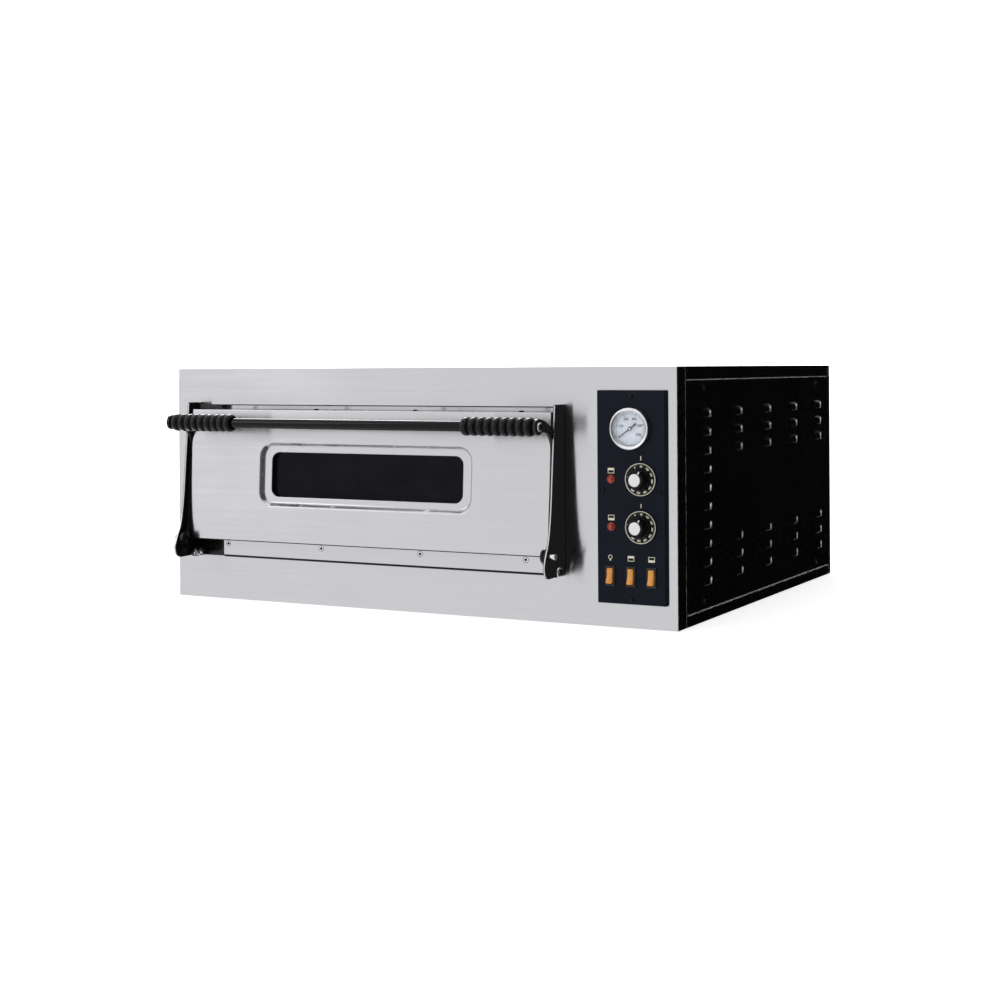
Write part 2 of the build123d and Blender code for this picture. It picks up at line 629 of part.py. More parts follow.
# The needle points to the cold end of the scale, at the lower left.
NEEDLE_ANGLE = 217.0
needle_plane = Plane(
    origin=(GAUGE_X, out(NEEDLE_P), GAUGE_Z),
    x_dir=(math.cos(math.radians(NEEDLE_ANGLE)), 0, math.sin(math.radians(NEEDLE_ANGLE))),
    z_dir=(0, -1, 0),
)
with BuildPart() as gauge_needle:
    with BuildSketch(needle_plane) as pointer:
        with BuildLine():
            Polyline((-11, -1.3), (24, -0.35), (24, 0.35), (-11, 1.3), close=True)
        make_face()
    extrude(pointer.sketch, amount=0.8)
    bar_y(out(NEEDLE_P + 1.6), out(NEEDLE_P - 0.6), GAUGE_X, GAUGE_Z, 3.2)
    bar_y(out(NEEDLE_P), out(DIAL_P - 3), GAUGE_X, GAUGE_Z, 1.0)
gauge_needle.part.label = "gauge_needle"
export_step(gauge_needle.part, "parts/gauge_needle.step")

SKIRT_P = PANEL_P + 0.8
KNOB_FACE_P = 33.0
CAP_P = 35.0

# Thermostat switches behind the panel, each with a bore for its knob's stem.
with BuildPart() as thermostats:
    for z in KNOB_Z:
        block(KNOB_X - 22, KNOB_X + 22, out(PANEL_P - PANEL_T - 0.2), out(-32), z - 24, z + 24)
        for x in (KNOB_X - 12, KNOB_X, KNOB_X + 12):
            block(x - 3, x + 3, out(-32), out(-42), z - 14, z - 13.2)
            block(x - 3, x + 3, out(-32), out(-42), z + 13.2, z + 14)
        bar_y(out(PANEL_P), out(-14), KNOB_X, z, STEM_R + RUN_FIT, Mode.SUBTRACT)
thermostats.part.label = "thermostats"
export_step(thermostats.part, "parts/thermostats.step")

# Indicator lamps: a collar in the panel with a domed lens.
with BuildPart() as indicator_lamps:
    for z in KNOB_Z:
        turned_y(LAMP_LENS_X, z - 0.5, [
            (-18, 0), (-18, 5), (PANEL_P, 5), (PANEL_P, 7), (PANEL_P + 1.5, 6.8), (PANEL_P + 2, 5.8),
            (PANEL_P + 4, 5), (PANEL_P + 5.2, 3), (PANEL_P + 5.6, 0),
        ])
indicator_lamps.part.label = "indicator_lamps"
export_step(indicator_lamps.part, "parts/indicator_lamps.step")

# Skirted knobs: dial skirt, fluted grip, raised cap and stem.
for z, label in zip(KNOB_Z, ("knob_upper", "knob_lower")):
    with BuildPart() as knob:
        turned_y(KNOB_X, z, [
            (-12, 0), (-12, STEM_R), (SKIRT_P, STEM_R), (SKIRT_P, 26.5), (SKIRT_P + 1.4, 26.5),
            (SKIRT_P + 2.6, 25), (SKIRT_P + 3, 18.5), (SKIRT_P + 5, 16.5), (KNOB_FACE_P - 2, 14.5),
            (KNOB_FACE_P, 12.5), (KNOB_FACE_P, 10.6), (CAP_P - 0.6, 10.6), (CAP_P, 9.8), (CAP_P, 0),
        ])
        with BuildSketch(Plane.XZ.offset(-out(SKIRT_P + 5))) as flutes:
            with Locations((KNOB_X, z)):
                with PolarLocations(17.6, 16):
                    Circle(1.7)
        extrude(flutes.sketch, amount=KNOB_FACE_P - SKIRT_P - 5 + 0.5, mode=Mode.SUBTRACT)
    knob.part.label = label
    export_step(knob.part, f"parts/{label}.step")

with BuildPart() as switch_bodies:
    for x in SWITCH_X:
        block(x - 7, x + 7, out(PANEL_P), out(-20), SWITCH_Z - 14, SWITCH_Z + 14)
        block(x - 8, x + 8, out(PANEL_P + 2.2), out(PANEL_P), SWITCH_Z - 16, SWITCH_Z + 16)
        block(
            x - ROCKER_W / 2 - 0.4, x + ROCKER_W / 2 + 0.4, out(PANEL_P + 3), out(0.5),
            SWITCH_Z - ROCKER_R - 0.5, SWITCH_Z + ROCKER_R + 0.5, Mode.SUBTRACT,
        )
        for z in (SWITCH_Z - 9, SWITCH_Z, SWITCH_Z + 9):
            block(x - 3, x + 3, out(-20), out(-29), z - 0.4, z + 0.4)
switch_bodies.part.label = "switch_bodies"
export_step(switch_bodies.part, "parts/switch_bodies.step")

# Each rocker rests with its lower end out; its ends follow a circle about the pivot.
rocker_profile = (
    (-4, -8), (0, -12.4), (4.5, -11.6), (1.8, 0), (4.5, 11.6), (0, 12.4), (-4, 8),
)
tilt = math.radians(ROCKER_TILT)
for index, x in enumerate(SWITCH_X, start=1):
    label = f"rocker_{index}"
    with BuildPart() as rocker:
        with BuildSketch(Plane.YZ.offset(x - ROCKER_W / 2)) as rocker_side:
            with BuildLine():
                Polyline(*[
                    (
                        out(ROCKER_P + p * math.cos(tilt) - z * math.sin(tilt)),
                        SWITCH_Z + z * math.cos(tilt) + p * math.sin(tilt),
                    )
                    for p, z in rocker_profile
                ], close=True)
            make_face()
        extrude(rocker_side.sketch, amount=ROCKER_W)
    rocker.part.label = label
    export_step(rocker.part, f"parts/{label}.step")

# ============================ Door =============================================

DOOR_X0 = DOOR_X - DOOR_W / 2
DOOR_X1 = DOOR_X + DOOR_W / 2
slope = math.atan2(FACE_LOW_P - FACE_TOP_P, DOOR_Z1 - DOOR_Z0)
face_plane = Plane(
    origin=(WINDOW_X, out(face_p(WINDOW_Z)), WINDOW_Z),
    x_dir=(1, 0, 0),
    z_dir=(0, -math.cos(slope), math.sin(slope)),
)


def rounded_plate(plane, width, height, corner):
    """A rounded rectangle drawn on a plane."""
    with BuildSketch(plane) as outline:
        RectangleRounded(width, height, corner)
    return outline.sketch


with BuildPart() as door_outer_skin:
    with BuildSketch(Plane.YZ.offset(DOOR_X0)) as skin_side:
        with BuildLine():
            Polyline(
                (out(DOOR_BACK_P + 1.8), DOOR_Z0), (out(FACE_LOW_P), DOOR_Z0),
                (out(FACE_TOP_P), DOOR_Z1), (out(DOOR_BACK_P + 1.8), DOOR_Z1), close=True,
            )
        make_face()
    extrude(skin_side.sketch, amount=DOOR_W)
    with BuildSketch(Plane.YZ.offset(DOOR_X0 + SHEET)) as skin_hollow:
        with BuildLine():
            Polyline(
                (out(DOOR_BACK_P), DOOR_Z0 + SHEET), (out(FACE_LOW_P - SHEET), DOOR_Z0 + SHEET),
                (out(FACE_TOP_P - SHEET), DOOR_Z1 - SHEET), (out(DOOR_BACK_P), DOOR_Z1 - SHEET),
                close=True,
            )
        make_face()
    extrude(skin_hollow.sketch, amount=DOOR_W - 2 * SHEET, mode=Mode.SUBTRACT)
    # The window frame is pressed inwards, with a curved rim round a flat ledge.
    ledge_w, ledge_h = EMBOSS_W - 2 * BEVEL, EMBOSS_H - 2 * BEVEL
    loft([
        rounded_plate(face_plane.offset(-0.7), EMBOSS_W + 2, EMBOSS_H + 2, EMBOSS_R + 1).face(),
        rounded_plate(
            face_plane.offset(-BEVEL - SHEET), ledge_w + 2, ledge_h + 2, EMBOSS_R - BEVEL + 1,
        ).face(),
    ])
    rim_sections = []
    for step in range(RIM_STEPS + 1):
        share = step / RIM_STEPS
        depth = BEVEL * (1 - math.cos(math.pi * share)) / 2
        inset = BEVEL * share
        rim_sections.append(
            rounded_plate(
                face_plane.offset(RIM_PROUD - depth), EMBOSS_W - 2 * inset, EMBOSS_H - 2 * inset,
                EMBOSS_R - inset,
            ).face()
        )
    loft(rim_sections, mode=Mode.SUBTRACT)
    # A collar runs inwards from the ledge to the glass.
    extrude(
        rounded_plate(
            face_plane.offset(-BEVEL - SHEET / 2), GLASS_W + 2 * COLLAR_T, GLASS_H + 2 * COLLAR_T,
            GLASS_R + COLLAR_T,
        ),
        amount=-COLLAR_D - SHEET / 2,
    )
    extrude(
        rounded_plate(face_plane, GLASS_W, GLASS_H, GLASS_R),
        amount=-BEVEL - SHEET - COLLAR_D - 1, mode=Mode.SUBTRACT,
    )
    for x in strip_screw_xs():
        bar_z(DOOR_Z1 - 3, DOOR_Z1 + 1, x, out(18), 2.1, Mode.SUBTRACT)
door_outer_skin.part.label = "door_outer_skin"
export_step(door_outer_skin.part, "parts/door_outer_skin.step")

with BuildPart() as door_inner_panel:
    block(DOOR_X0, DOOR_X1, out(DOOR_BACK_P + 1.5), out(DOOR_BACK_P), DOOR_Z0, DOOR_Z1)
    rim = SHEET + 0.4
    block(
        DOOR_X0 + rim, DOOR_X1 - rim, out(DOOR_BACK_P + 16), out(DOOR_BACK_P + 1),
        DOOR_Z0 + rim, DOOR_Z1 - rim,
    )
    block(
        DOOR_X0 + 2 * rim, DOOR_X1 - 2 * rim, out(DOOR_BACK_P + 17), out(DOOR_BACK_P + 1.5),
        DOOR_Z0 + 2 * rim, DOOR_Z1 - 2 * rim, Mode.SUBTRACT,
    )
    with BuildSketch(Plane.XZ.offset(-out(DOOR_BACK_P - 1))) as inner_window:
        with Locations((WINDOW_X, WINDOW_Z)):
            RectangleRounded(GLASS_W, GLASS_H, GLASS_R)
    extrude(inner_window.sketch, amount=5, mode=Mode.SUBTRACT)
door_inner_panel.part.label = "door_inner_panel"
export_step(door_inner_panel.part, "parts/door_inner_panel.step")

with BuildPart() as door_insulation:
    block(DOOR_X0 + 12, DOOR_X1 - 12, out(20), out(DOOR_BACK_P + 3), DOOR_Z0 + 8, DOOR_Z1 - 8)
    block(
        WINDOW_X - EMBOSS_W / 2 - 3, WINDOW_X + EMBOSS_W / 2 + 3, out(21), out(DOOR_BACK_P),
        WINDOW_Z - EMBOSS_H / 2 - 4, WINDOW_Z + EMBOSS_H / 2 + 4, Mode.SUBTRACT,
    )
door_insulation.part.label = "door_insulation"
export_step(door_insulation.part, "parts/door_insulation.step")

pane_w, pane_h = GLASS_W + 2 * GLASS_LAP, GLASS_H + 2 * GLASS_LAP
GASKET_T = 1.0

with BuildPart() as window_gasket:
    gasket_plane = face_plane.offset(-BEVEL - SHEET - COLLAR_D)
    extrude(rounded_plate(gasket_plane, pane_w, pane_h, GLASS_R + 3), amount=-GASKET_T)
    extrude(
        rounded_plate(gasket_plane.offset(1), GLASS_W + 2, GLASS_H + 2, GLASS_R),
        amount=-GASKET_T - 2, mode=Mode.SUBTRACT,
    )
window_gasket.part.label = "window_gasket"
export_step(window_gasket.part, "parts/window_gasket.step")

with BuildPart() as window_glass_outer:
    pane_plane = face_plane.offset(-BEVEL - SHEET - COLLAR_D - GASKET_T)
    extrude(rounded_plate(pane_plane, pane_w, pane_h, GLASS_R + 3), amount=-GLASS_T)
window_glass_outer.part.label = "window_glass_outer"
export_step(window_glass_outer.part, "parts/window_glass_outer.step")

with BuildPart() as window_glass_inner:
    with BuildSketch(Plane.XZ.offset(-out(DOOR_BACK_P + 1.5))) as inner_pane:
        with Locations((WINDOW_X, WINDOW_Z)):
            RectangleRounded(pane_w, pane_h, GLASS_R + 3)
    extrude(inner_pane.sketch, amount=GLASS_T)
window_glass_inner.part.label = "window_glass_inner"
export_step(window_glass_inner.part, "parts/window_glass_inner.step")

with BuildPart() as door_screws:
    for x in strip_screw_xs():
        bar_z(DOOR_Z1 - 8, DOOR_Z1, x, out(18), 2.0)
        bar_z(DOOR_Z1, DOOR_Z1 + 2.4, x, out(18), 4.2)
    fillet(door_screws.edges().group_by(Axis.Z)[-1], 1.2)
door_screws.part.label = "door_screws"
export_step(door_screws.part, "parts/door_screws.step")

# ============================ Cheeks, hinge and handle ==========================


def side_x(side, distance):
    """The x of a plane at a distance from the door's middle, on one side."""
    return DOOR_X + side * distance


for side, place in ((-1, "left"), (1, "right")):
    # Cheek: straight back edge, leaning front edge and a rounded lobe at the foot.
    label = f"door_cheek_{place}"
    with BuildPart() as door_cheek:
        with BuildSketch(Plane.YZ.offset(side_x(side, CHEEK_IN))) as cheek_side:
            with BuildLine():
                front_edge = Spline(
                    (out(32), 351), (out(37.5), 290), (out(41.5), 250), (out(46), 199), (out(51), 162),
                    (out(58), 133), (out(67), 114), (out(72.5), 98), (out(70), 84), (out(60), 77.5),
                )
                Polyline(
                    front_edge @ 1, (out(10), 78.5), (out(1.5), 86), (out(1.5), 349),
                    (out(4), 352.5), (out(30), 352.5), front_edge @ 0,
                )
            make_face()
        extrude(cheek_side.sketch, amount=side * CHEEK_T)
        x0, x1 = side_x(side, CHEEK_IN - 1), side_x(side, CHEEK_IN + CHEEK_T + 1)
        bar_x(x0, x1, out(PIVOT_P), PIVOT_Z, PIVOT_R + RUN_FIT, Mode.SUBTRACT)
        bar_x(x0, x1, out(ARM_BOLT_P), ARM_BOLT_Z, ARM_BOLT_R + RUN_FIT, Mode.SUBTRACT)
    door_cheek.part.label = label
    export_step(door_cheek.part, f"parts/{label}.step")

    # Arm: a foot eye on the cheek's bolt, a long shank and a hooked eye for the rod.
    label = f"handle_arm_{place}"
    with BuildPart() as handle_arm:
        with BuildSketch(Plane.YZ.offset(side_x(side, CHEEK_IN))) as arm_side:
            with BuildLine():
                shank_front = Spline(
                    (out(61), 116), (out(47), 133), (out(42.5), 165), (out(39.5), 199), (out(36.5), 233),
                    (out(34), 266), (out(34.5), 286), (out(42), 300), (out(58), 308), (out(80), 309),
                )
                shank_back = Spline(
                    (out(82), 331), (out(64), 327.5), (out(44), 319), (out(27), 305), (out(19.5), 284),
                    (out(18.5), 262), (out(20.5), 233), (out(23.5), 199), (out(27), 165), (out(32), 120),
                )
                Line(shank_front @ 1, shank_back @ 0)
                Line(shank_back @ 1, shank_front @ 0)
            make_face()
            with Locations((out(ARM_FOOT_P), ARM_FOOT_Z)):
                Circle(ARM_FOOT_R)
            with Locations((out(ROD_P), ROD_Z)):
                Circle(13)
        extrude(arm_side.sketch, amount=-side * ARM_T)
        foot_x = side_x(side, CHEEK_IN - ARM_T)
        boss_x = side_x(side, CHEEK_IN - ARM_T - ARM_BOSS_T)
        bar_x(foot_x, boss_x, out(ARM_BOLT_P), ARM_BOLT_Z, ARM_BOSS_R)
        x0, x1 = side_x(side, CHEEK_IN + 1), boss_x - side
        bar_x(x0, x1, out(ARM_BOLT_P), ARM_BOLT_Z, ARM_BOLT_R + RUN_FIT, Mode.SUBTRACT)
        bar_x(x0, x1, out(ROD_P), ROD_Z, 4.0 + RUN_FIT, Mode.SUBTRACT)
    handle_arm.part.label = label
    export_step(handle_arm.part, f"parts/{label}.step")

    # Grip: a sleeve of rounded ribs on the rod.
    label = f"handle_grip_{place}"
    with BuildPart() as handle_grip:
        with BuildSketch(Plane.XZ.offset(-out(ROD_P))) as grip_half:
            with BuildLine():
                inner_end = GRIP_END - GRIP_RIBS * GRIP_PITCH
                bore = ROD_Z + ROD_R + RUN_FIT
                groove = ROD_Z + GRIP_GROOVE_R
                for rib in range(GRIP_RIBS):
                    near = side_x(side, inner_end + rib * GRIP_PITCH)
                    far = side_x(side, inner_end + (rib + 1) * GRIP_PITCH)
                    ThreePointArc((near, groove), ((near + far) / 2, ROD_Z + GRIP_R), (far, groove))
                Polyline(
                    (side_x(side, GRIP_END), groove), (side_x(side, GRIP_END), bore),
                    (side_x(side, inner_end), bore), (side_x(side, inner_end), groove),
                )
            make_face()
        revolve(grip_half.sketch, axis=Axis((0, out(ROD_P), ROD_Z), (1, 0, 0)))
    handle_grip.part.label = label
    export_step(handle_grip.part, f"parts/{label}.step")

    # Hinge bracket: a lug for the pivot bolt on a foot that is fixed to the fascia.
    label = f"hinge_bracket_{place}"
    with BuildPart() as hinge_bracket:
        lug_out = side_x(side, CHEEK_IN - 0.5)
        lug_in = side_x(side, CHEEK_IN - 6.5)
        foot_in = STRIP_X0 - SEAM if side < 0 else STRIP_X1 + SEAM
        block(lug_out, lug_in, out(PIVOT_P), FRONT, PIVOT_Z - LUG_R, PIVOT_Z + LUG_R)
        bar_x(lug_out, lug_in, out(PIVOT_P), PIVOT_Z, LUG_R)
        block(lug_out, foot_in, out(4), FRONT, STRIP_Z0 - 2, STRIP_Z1 - 2)
        bar_x(lug_out, lug_in, out(PIVOT_P), PIVOT_Z, PIVOT_R + RUN_FIT, Mode.SUBTRACT)
    hinge_bracket.part.label = label
    export_step(hinge_bracket.part, f"parts/{label}.step")

with BuildPart() as handle_rod:
    rod_end = CHEEK_IN - ARM_T - 0.1
    bar_x(side_x(-1, rod_end), side_x(1, rod_end), out(ROD_P), ROD_Z, ROD_R)
    bar_x(side_x(-1, rod_end + 1), side_x(1, rod_end + 1), out(ROD_P), ROD_Z, ROD_BORE_R, Mode.SUBTRACT)
handle_rod.part.label = "handle_rod"
export_step(handle_rod.part, "parts/handle_rod.step")

with BuildPart() as rod_end_bolts:
    for side in (-1, 1):
        turned_x(out(ROD_P), ROD_Z, [
            (side_x(side, CHEEK_IN - 26), 0), (side_x(side, CHEEK_IN - 26), 4), (side_x(side, CHEEK_IN), 4),
            (side_x(side, CHEEK_IN), 7.5), (side_x(side, CHEEK_IN + 2.5), 7),
            (side_x(side, CHEEK_IN + 4.5), 4.5), (side_x(side, CHEEK_IN + 4.5), 2.5),
            (side_x(side, CHEEK_IN + 2), 2.5), (side_x(side, CHEEK_IN + 2), 0),
        ])
rod_end_bolts.part.label = "rod_end_bolts"
export_step(rod_end_bolts.part, "parts/rod_end_bolts.step")

with BuildPart() as arm_bolts:
    for side in (-1, 1):
        seat = CHEEK_IN - ARM_T - ARM_BOSS_T
        pin_end = CHEEK_IN + CHEEK_T + PIN_REACH
        turned_x(out(ARM_BOLT_P), ARM_BOLT_Z, [
            (side_x(side, seat - 3.5), 0), (side_x(side, seat - 3), 4), (side_x(side, seat - 1), 7.6),
            (side_x(side, seat), 8), (side_x(side, seat), ARM_BOLT_R),
            (side_x(side, pin_end - 1), ARM_BOLT_R),
            (side_x(side, pin_end), ARM_BOLT_R - 1), (side_x(side, pin_end), 0),
        ])
arm_bolts.part.label = "arm_bolts"
export_step(arm_bolts.part, "parts/arm_bolts.step")

with BuildPart() as pivot_bolts:
    for side in (-1, 1):
        head = CHEEK_IN + CHEEK_T
        turned_x(out(PIVOT_P), PIVOT_Z, [
            (side_x(side, CHEEK_IN - 23), 0), (side_x(side, CHEEK_IN - 23), 4.4),
            (side_x(side, CHEEK_IN - 18), 4.4), (side_x(side, CHEEK_IN - 18), 7),
            (side_x(side, CHEEK_IN - 11), 7),
            (side_x(side, CHEEK_IN - 11), 6), (side_x(side, CHEEK_IN - 9), 6),
            (side_x(side, CHEEK_IN - 9), 8), (side_x(side, CHEEK_IN - 7), 8),
            (side_x(side, CHEEK_IN - 7), PIVOT_R),
            (side_x(side, head), PIVOT_R), (side_x(side, head), 8), (side_x(side, head + 2), 7.6),
            (side_x(side, head + 4.5), 5), (side_x(side, head + 4.5), 2.8),
            (side_x(side, head + 2), 2.8), (side_x(side, head + 2), 0),
        ])
pivot_bolts.part.label = "pivot_bolts"
export_step(pivot_bolts.part, "parts/pivot_bolts.step")

with BuildPart() as door_spacers:
    for side in (-1, 1):
        for z in (150, 300):
            bar_x(side_x(side, CHEEK_IN), side_x(side, DOOR_W / 2), out(SPACER_P), z, SPACER_R)
door_spacers.part.label = "door_spacers"
export_step(door_spacers.part, "parts/door_spacers.step")
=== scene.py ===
import json
import math

import bmesh
import bpy
from mathutils import Matrix, Vector


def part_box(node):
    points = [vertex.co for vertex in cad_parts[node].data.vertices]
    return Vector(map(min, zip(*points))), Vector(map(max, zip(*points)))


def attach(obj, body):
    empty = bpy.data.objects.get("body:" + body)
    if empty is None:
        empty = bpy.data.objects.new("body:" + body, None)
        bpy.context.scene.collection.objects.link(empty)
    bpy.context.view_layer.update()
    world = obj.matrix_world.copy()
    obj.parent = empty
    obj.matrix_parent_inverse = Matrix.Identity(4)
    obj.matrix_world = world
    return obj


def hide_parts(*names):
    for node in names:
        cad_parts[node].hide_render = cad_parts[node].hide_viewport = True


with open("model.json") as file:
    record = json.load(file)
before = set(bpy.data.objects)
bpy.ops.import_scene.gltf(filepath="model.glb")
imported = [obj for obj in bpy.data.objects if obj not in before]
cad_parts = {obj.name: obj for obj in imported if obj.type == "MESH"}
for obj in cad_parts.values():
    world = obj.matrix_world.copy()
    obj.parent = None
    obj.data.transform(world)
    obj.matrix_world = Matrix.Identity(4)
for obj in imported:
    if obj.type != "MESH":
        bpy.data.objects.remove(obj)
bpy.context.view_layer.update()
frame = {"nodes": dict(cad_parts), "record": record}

# Every mesh is built in the frame's own axes: +X right, -Y out through the door, +Z up.
MM = 0.001
OUTWARD = Vector((0, -1, 0))
RIGHT = Vector((1, 0, 0))
UP = Vector((0, 0, 1))
FASCIA_LO, FASCIA_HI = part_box("front_fascia")
FRONT_Y = FASCIA_LO.y
HALF_W = FASCIA_HI.x
TOP_Z = FASCIA_HI.z
SHEET = 1.5 * MM
# The side skins' outer faces lie one sheet inside the fascia's edges.
SKIN_X = HALF_W - SHEET


# ------------------------------------------------------------------ shader kit

EVEN = (1, 1, 1)
MATERIALS = {}


class Shader:
    """One procedural material, kept in MATERIALS: a Principled shader and short calls for its nodes."""

    def __init__(self, name, colour, roughness, metallic=0.0, **inputs):
        self.material = bpy.data.materials.new(name)
        MATERIALS[name] = self.material
        self.material.use_nodes = True
        self.tree = self.material.node_tree
        self.bsdf = self.tree.nodes["Principled BSDF"]
        self.bsdf.inputs["Base Color"].default_value = (*colour, 1)
        self.bsdf.inputs["Roughness"].default_value = roughness
        self.bsdf.inputs["Metallic"].default_value = metallic
        for key, value in inputs.items():
            self.bsdf.inputs[key.replace("_", " ")].default_value = value
        self.coords = self.tree.nodes.new("ShaderNodeTexCoord").outputs["Object"]

    def node(self, kind, links=(), **settings):
        made = self.tree.nodes.new(kind)
        for key, value in settings.items():
            setattr(made, key, value)
        for socket, source in dict(links).items():
            target = made.inputs[socket]
            if isinstance(source, bpy.types.NodeSocket):
                self.tree.links.new(source, target)
            else:
                target.default_value = source
        return made

    def noise(self, scale, stretch=EVEN, detail=4.0, roughness=0.6):
        placed = self.node("ShaderNodeMapping", {"Vector": self.coords, "Scale": stretch})
        return self.node("ShaderNodeTexNoise", {
            "Vector": placed.outputs[0], "Scale": scale, "Detail": detail, "Roughness": roughness,
        }).outputs["Fac"]

    def cells(self, scale):
        return self.node("ShaderNodeTexVoronoi", {
            "Vector": self.coords, "Scale": scale,
        }).outputs["Distance"]

    def span(self, value, low, high, to_low, to_high):
        return self.node("ShaderNodeMapRange", {
            "Value": value, "From Min": low, "From Max": high, "To Min": to_low, "To Max": to_high,
        }).outputs["Result"]

    def blend(self, share, first, second):
        mixed = self.node("ShaderNodeMix", {"Factor": share}, data_type="RGBA")
        # Sockets 6 and 7 are the two colours of a Mix node, and output 2 is its colour.
        for socket, colour in ((6, first), (7, second)):
            if isinstance(colour, bpy.types.NodeSocket):
                self.tree.links.new(colour, mixed.inputs[socket])
            else:
                mixed.inputs[socket].default_value = (*colour, 1)
        return mixed.outputs[2]

    def product(self, first, second):
        return self.node("ShaderNodeMath", {0: first, 1: second}, operation="MULTIPLY").outputs[0]

    def total(self, first, second):
        return self.node("ShaderNodeMath", {0: first, 1: second}, operation="ADD").outputs[0]

    def drive(self, socket, value):
        self.tree.links.new(value, self.bsdf.inputs[socket])

    def relief(self, height, depth, edge=0.0):
        """Bump from a height in 0 to 1, so many metres deep, over edges rounded by that radius."""
        links = {"Height": height, "Distance": depth, "Strength": 1.0}
        if edge:
            links["Normal"] = self.node("ShaderNodeBevel", {"Radius": edge}, samples=4).outputs[0]
        self.drive("Normal", self.node("ShaderNodeBump", links).outputs[0])


def scaled(colour, factor, lift=0.0):
    return tuple(min(1.0, c * factor + lift) for c in colour)


def brushed(name, colour, roughness, along="X", edge=0.0006, streak=1.0, stretched=0.0):
    """Sheet metal with a fine grain along one axis, smudges and rubbed patches."""
    made = Shader(name, colour, roughness, 1.0)
    if stretched:
        made.bsdf.inputs["Anisotropic"].default_value = stretched
        made.bsdf.inputs["Anisotropic Rotation"].default_value = 0.25
        made.drive("Tangent", made.node("ShaderNodeTangent", axis="Z").outputs[0])
    grain_at = {"X": (0.02, 1, 1), "Y": (1, 0.02, 1)}[along]
    fine = made.noise(1600.0, grain_at, 3.0, 0.7)
    broad = made.noise(170.0, grain_at, 5.0, 0.65)
    smudge = made.noise(5.0, (1, 1, 1.4), 4.0, 0.55)
    shade = made.total(made.span(broad, 0.3, 0.7, -0.03 * streak, 0.03 * streak),
                       made.span(smudge, 0.3, 0.7, -0.012, 0.012))
    made.drive("Base Color", made.blend(made.total(shade, 0.5), scaled(colour, 0.72), scaled(colour, 1.28)))
    gloss = made.total(made.span(smudge, 0.35, 0.7, roughness - 0.03, roughness + 0.05),
                       made.span(broad, 0.3, 0.7, -0.02, 0.02))
    made.drive("Roughness", gloss)
    made.relief(fine, 0.000008 * streak, edge)


def painted(name, colour, roughness, level, grain, depth, edge=0.0006, dust=0.2, wear=0.02):
    """Powder coat or enamel: orange peel, dull dusty patches and lighter rubbed spots."""
    made = Shader(name, colour, roughness, Specular_IOR_Level=level)
    peel = made.noise(grain, EVEN, 2.0, 0.5)
    patch = made.noise(7.0, EVEN, 5.0, 0.6)
    speck = made.span(made.noise(420.0, EVEN, 2.0, 0.5), 0.72, 0.8, 0.0, 1.0)
    amount = made.total(made.span(patch, 0.35, 0.75, 0.0, dust), made.product(speck, dust))
    made.drive("Base Color", made.blend(amount, colour, scaled(colour, 1.8, 0.004)))
    made.drive("Roughness", made.span(patch, 0.3, 0.75, roughness - wear, roughness + wear))
    made.relief(peel, depth, edge)


def moulded(name, colour, roughness, level, depth, edge=0.0005):
    """Moulded plastic or rubber with a fine skin and slight mottling."""
    made = Shader(name, colour, roughness, Specular_IOR_Level=level)
    skin = made.noise(1300.0, EVEN, 3.0, 0.6)
    cloud = made.noise(60.0, EVEN, 3.0, 0.5)
    mottle = made.span(cloud, 0.3, 0.7, 0.0, 0.48)
    made.drive("Base Color", made.blend(mottle, colour, scaled(colour, 1.25, 0.004)))
    made.drive("Roughness", made.span(cloud, 0.3, 0.7, roughness - 0.03, roughness + 0.06))
    made.relief(skin, depth, edge)


def baked_steel():
    """Bright chamber sheet, tanned by heat, with darker drips and a rolled grain."""
    bare = (0.56, 0.55, 0.52)
    made = Shader("chamber_steel", bare, 0.3, 1.0)
    grain = made.noise(300.0, (0.03, 1, 1), 4.0, 0.7)
    tan = made.noise(6.0, EVEN, 6.0, 0.65)
    drips_and_door_shade = made.noise(40.0, (1, 1, 0.25), 5.0, 0.7)
    base = made.blend(made.span(tan, 0.42, 0.72, 0.0, 0.65), bare, (0.36, 0.27, 0.17))
    base = made.blend(made.span(drips_and_door_shade, 0.6, 0.75, 0.0, 0.5), base, (0.12, 0.085, 0.06))
    made.drive("Base Color", base)
    gloss = made.total(made.span(tan, 0.3, 0.7, 0.25, 0.45), made.span(grain, 0.3, 0.7, -0.03, 0.03))
    made.drive("Roughness", gloss)
    made.relief(made.total(grain, made.product(drips_and_door_shade, 0.4)), 0.00003, 0.0006)


def fire_stone():
    """Refractory slab: sandy grains, small pits and toasted patches."""
    made = Shader("stone", (0.62, 0.55, 0.44), 0.9, Specular_IOR_Level=0.2)
    grit = made.noise(700.0, EVEN, 4.0, 0.7)
    pits = made.span(made.cells(260.0), 0.0, 0.3, 0.0, 1.0)
    toast = made.noise(9.0, EVEN, 6.0, 0.65)
    base = made.blend(made.span(grit, 0.3, 0.7, 0.0, 1.0), (0.52, 0.45, 0.35), (0.72, 0.65, 0.54))
    base = made.blend(made.span(toast, 0.5, 0.72, 0.0, 0.75), base, (0.2, 0.13, 0.075))
    made.drive("Base Color", base)
    made.relief(made.total(made.product(pits, 0.7), made.product(grit, 0.5)), 0.0004, 0.0012)


def mineral_wool():
    """Matted fibres, buff and uneven."""
    made = Shader("wool", (0.7, 0.64, 0.46), 1.0, Specular_IOR_Level=0.1)
    fibre = made.noise(420.0, (0.15, 1, 1), 6.0, 0.75)
    clump = made.noise(45.0, EVEN, 5.0, 0.6)
    made.drive("Base Color", made.blend(clump, (0.5, 0.43, 0.27), (0.82, 0.77, 0.6)))
    made.relief(made.total(fibre, clump), 0.0015)


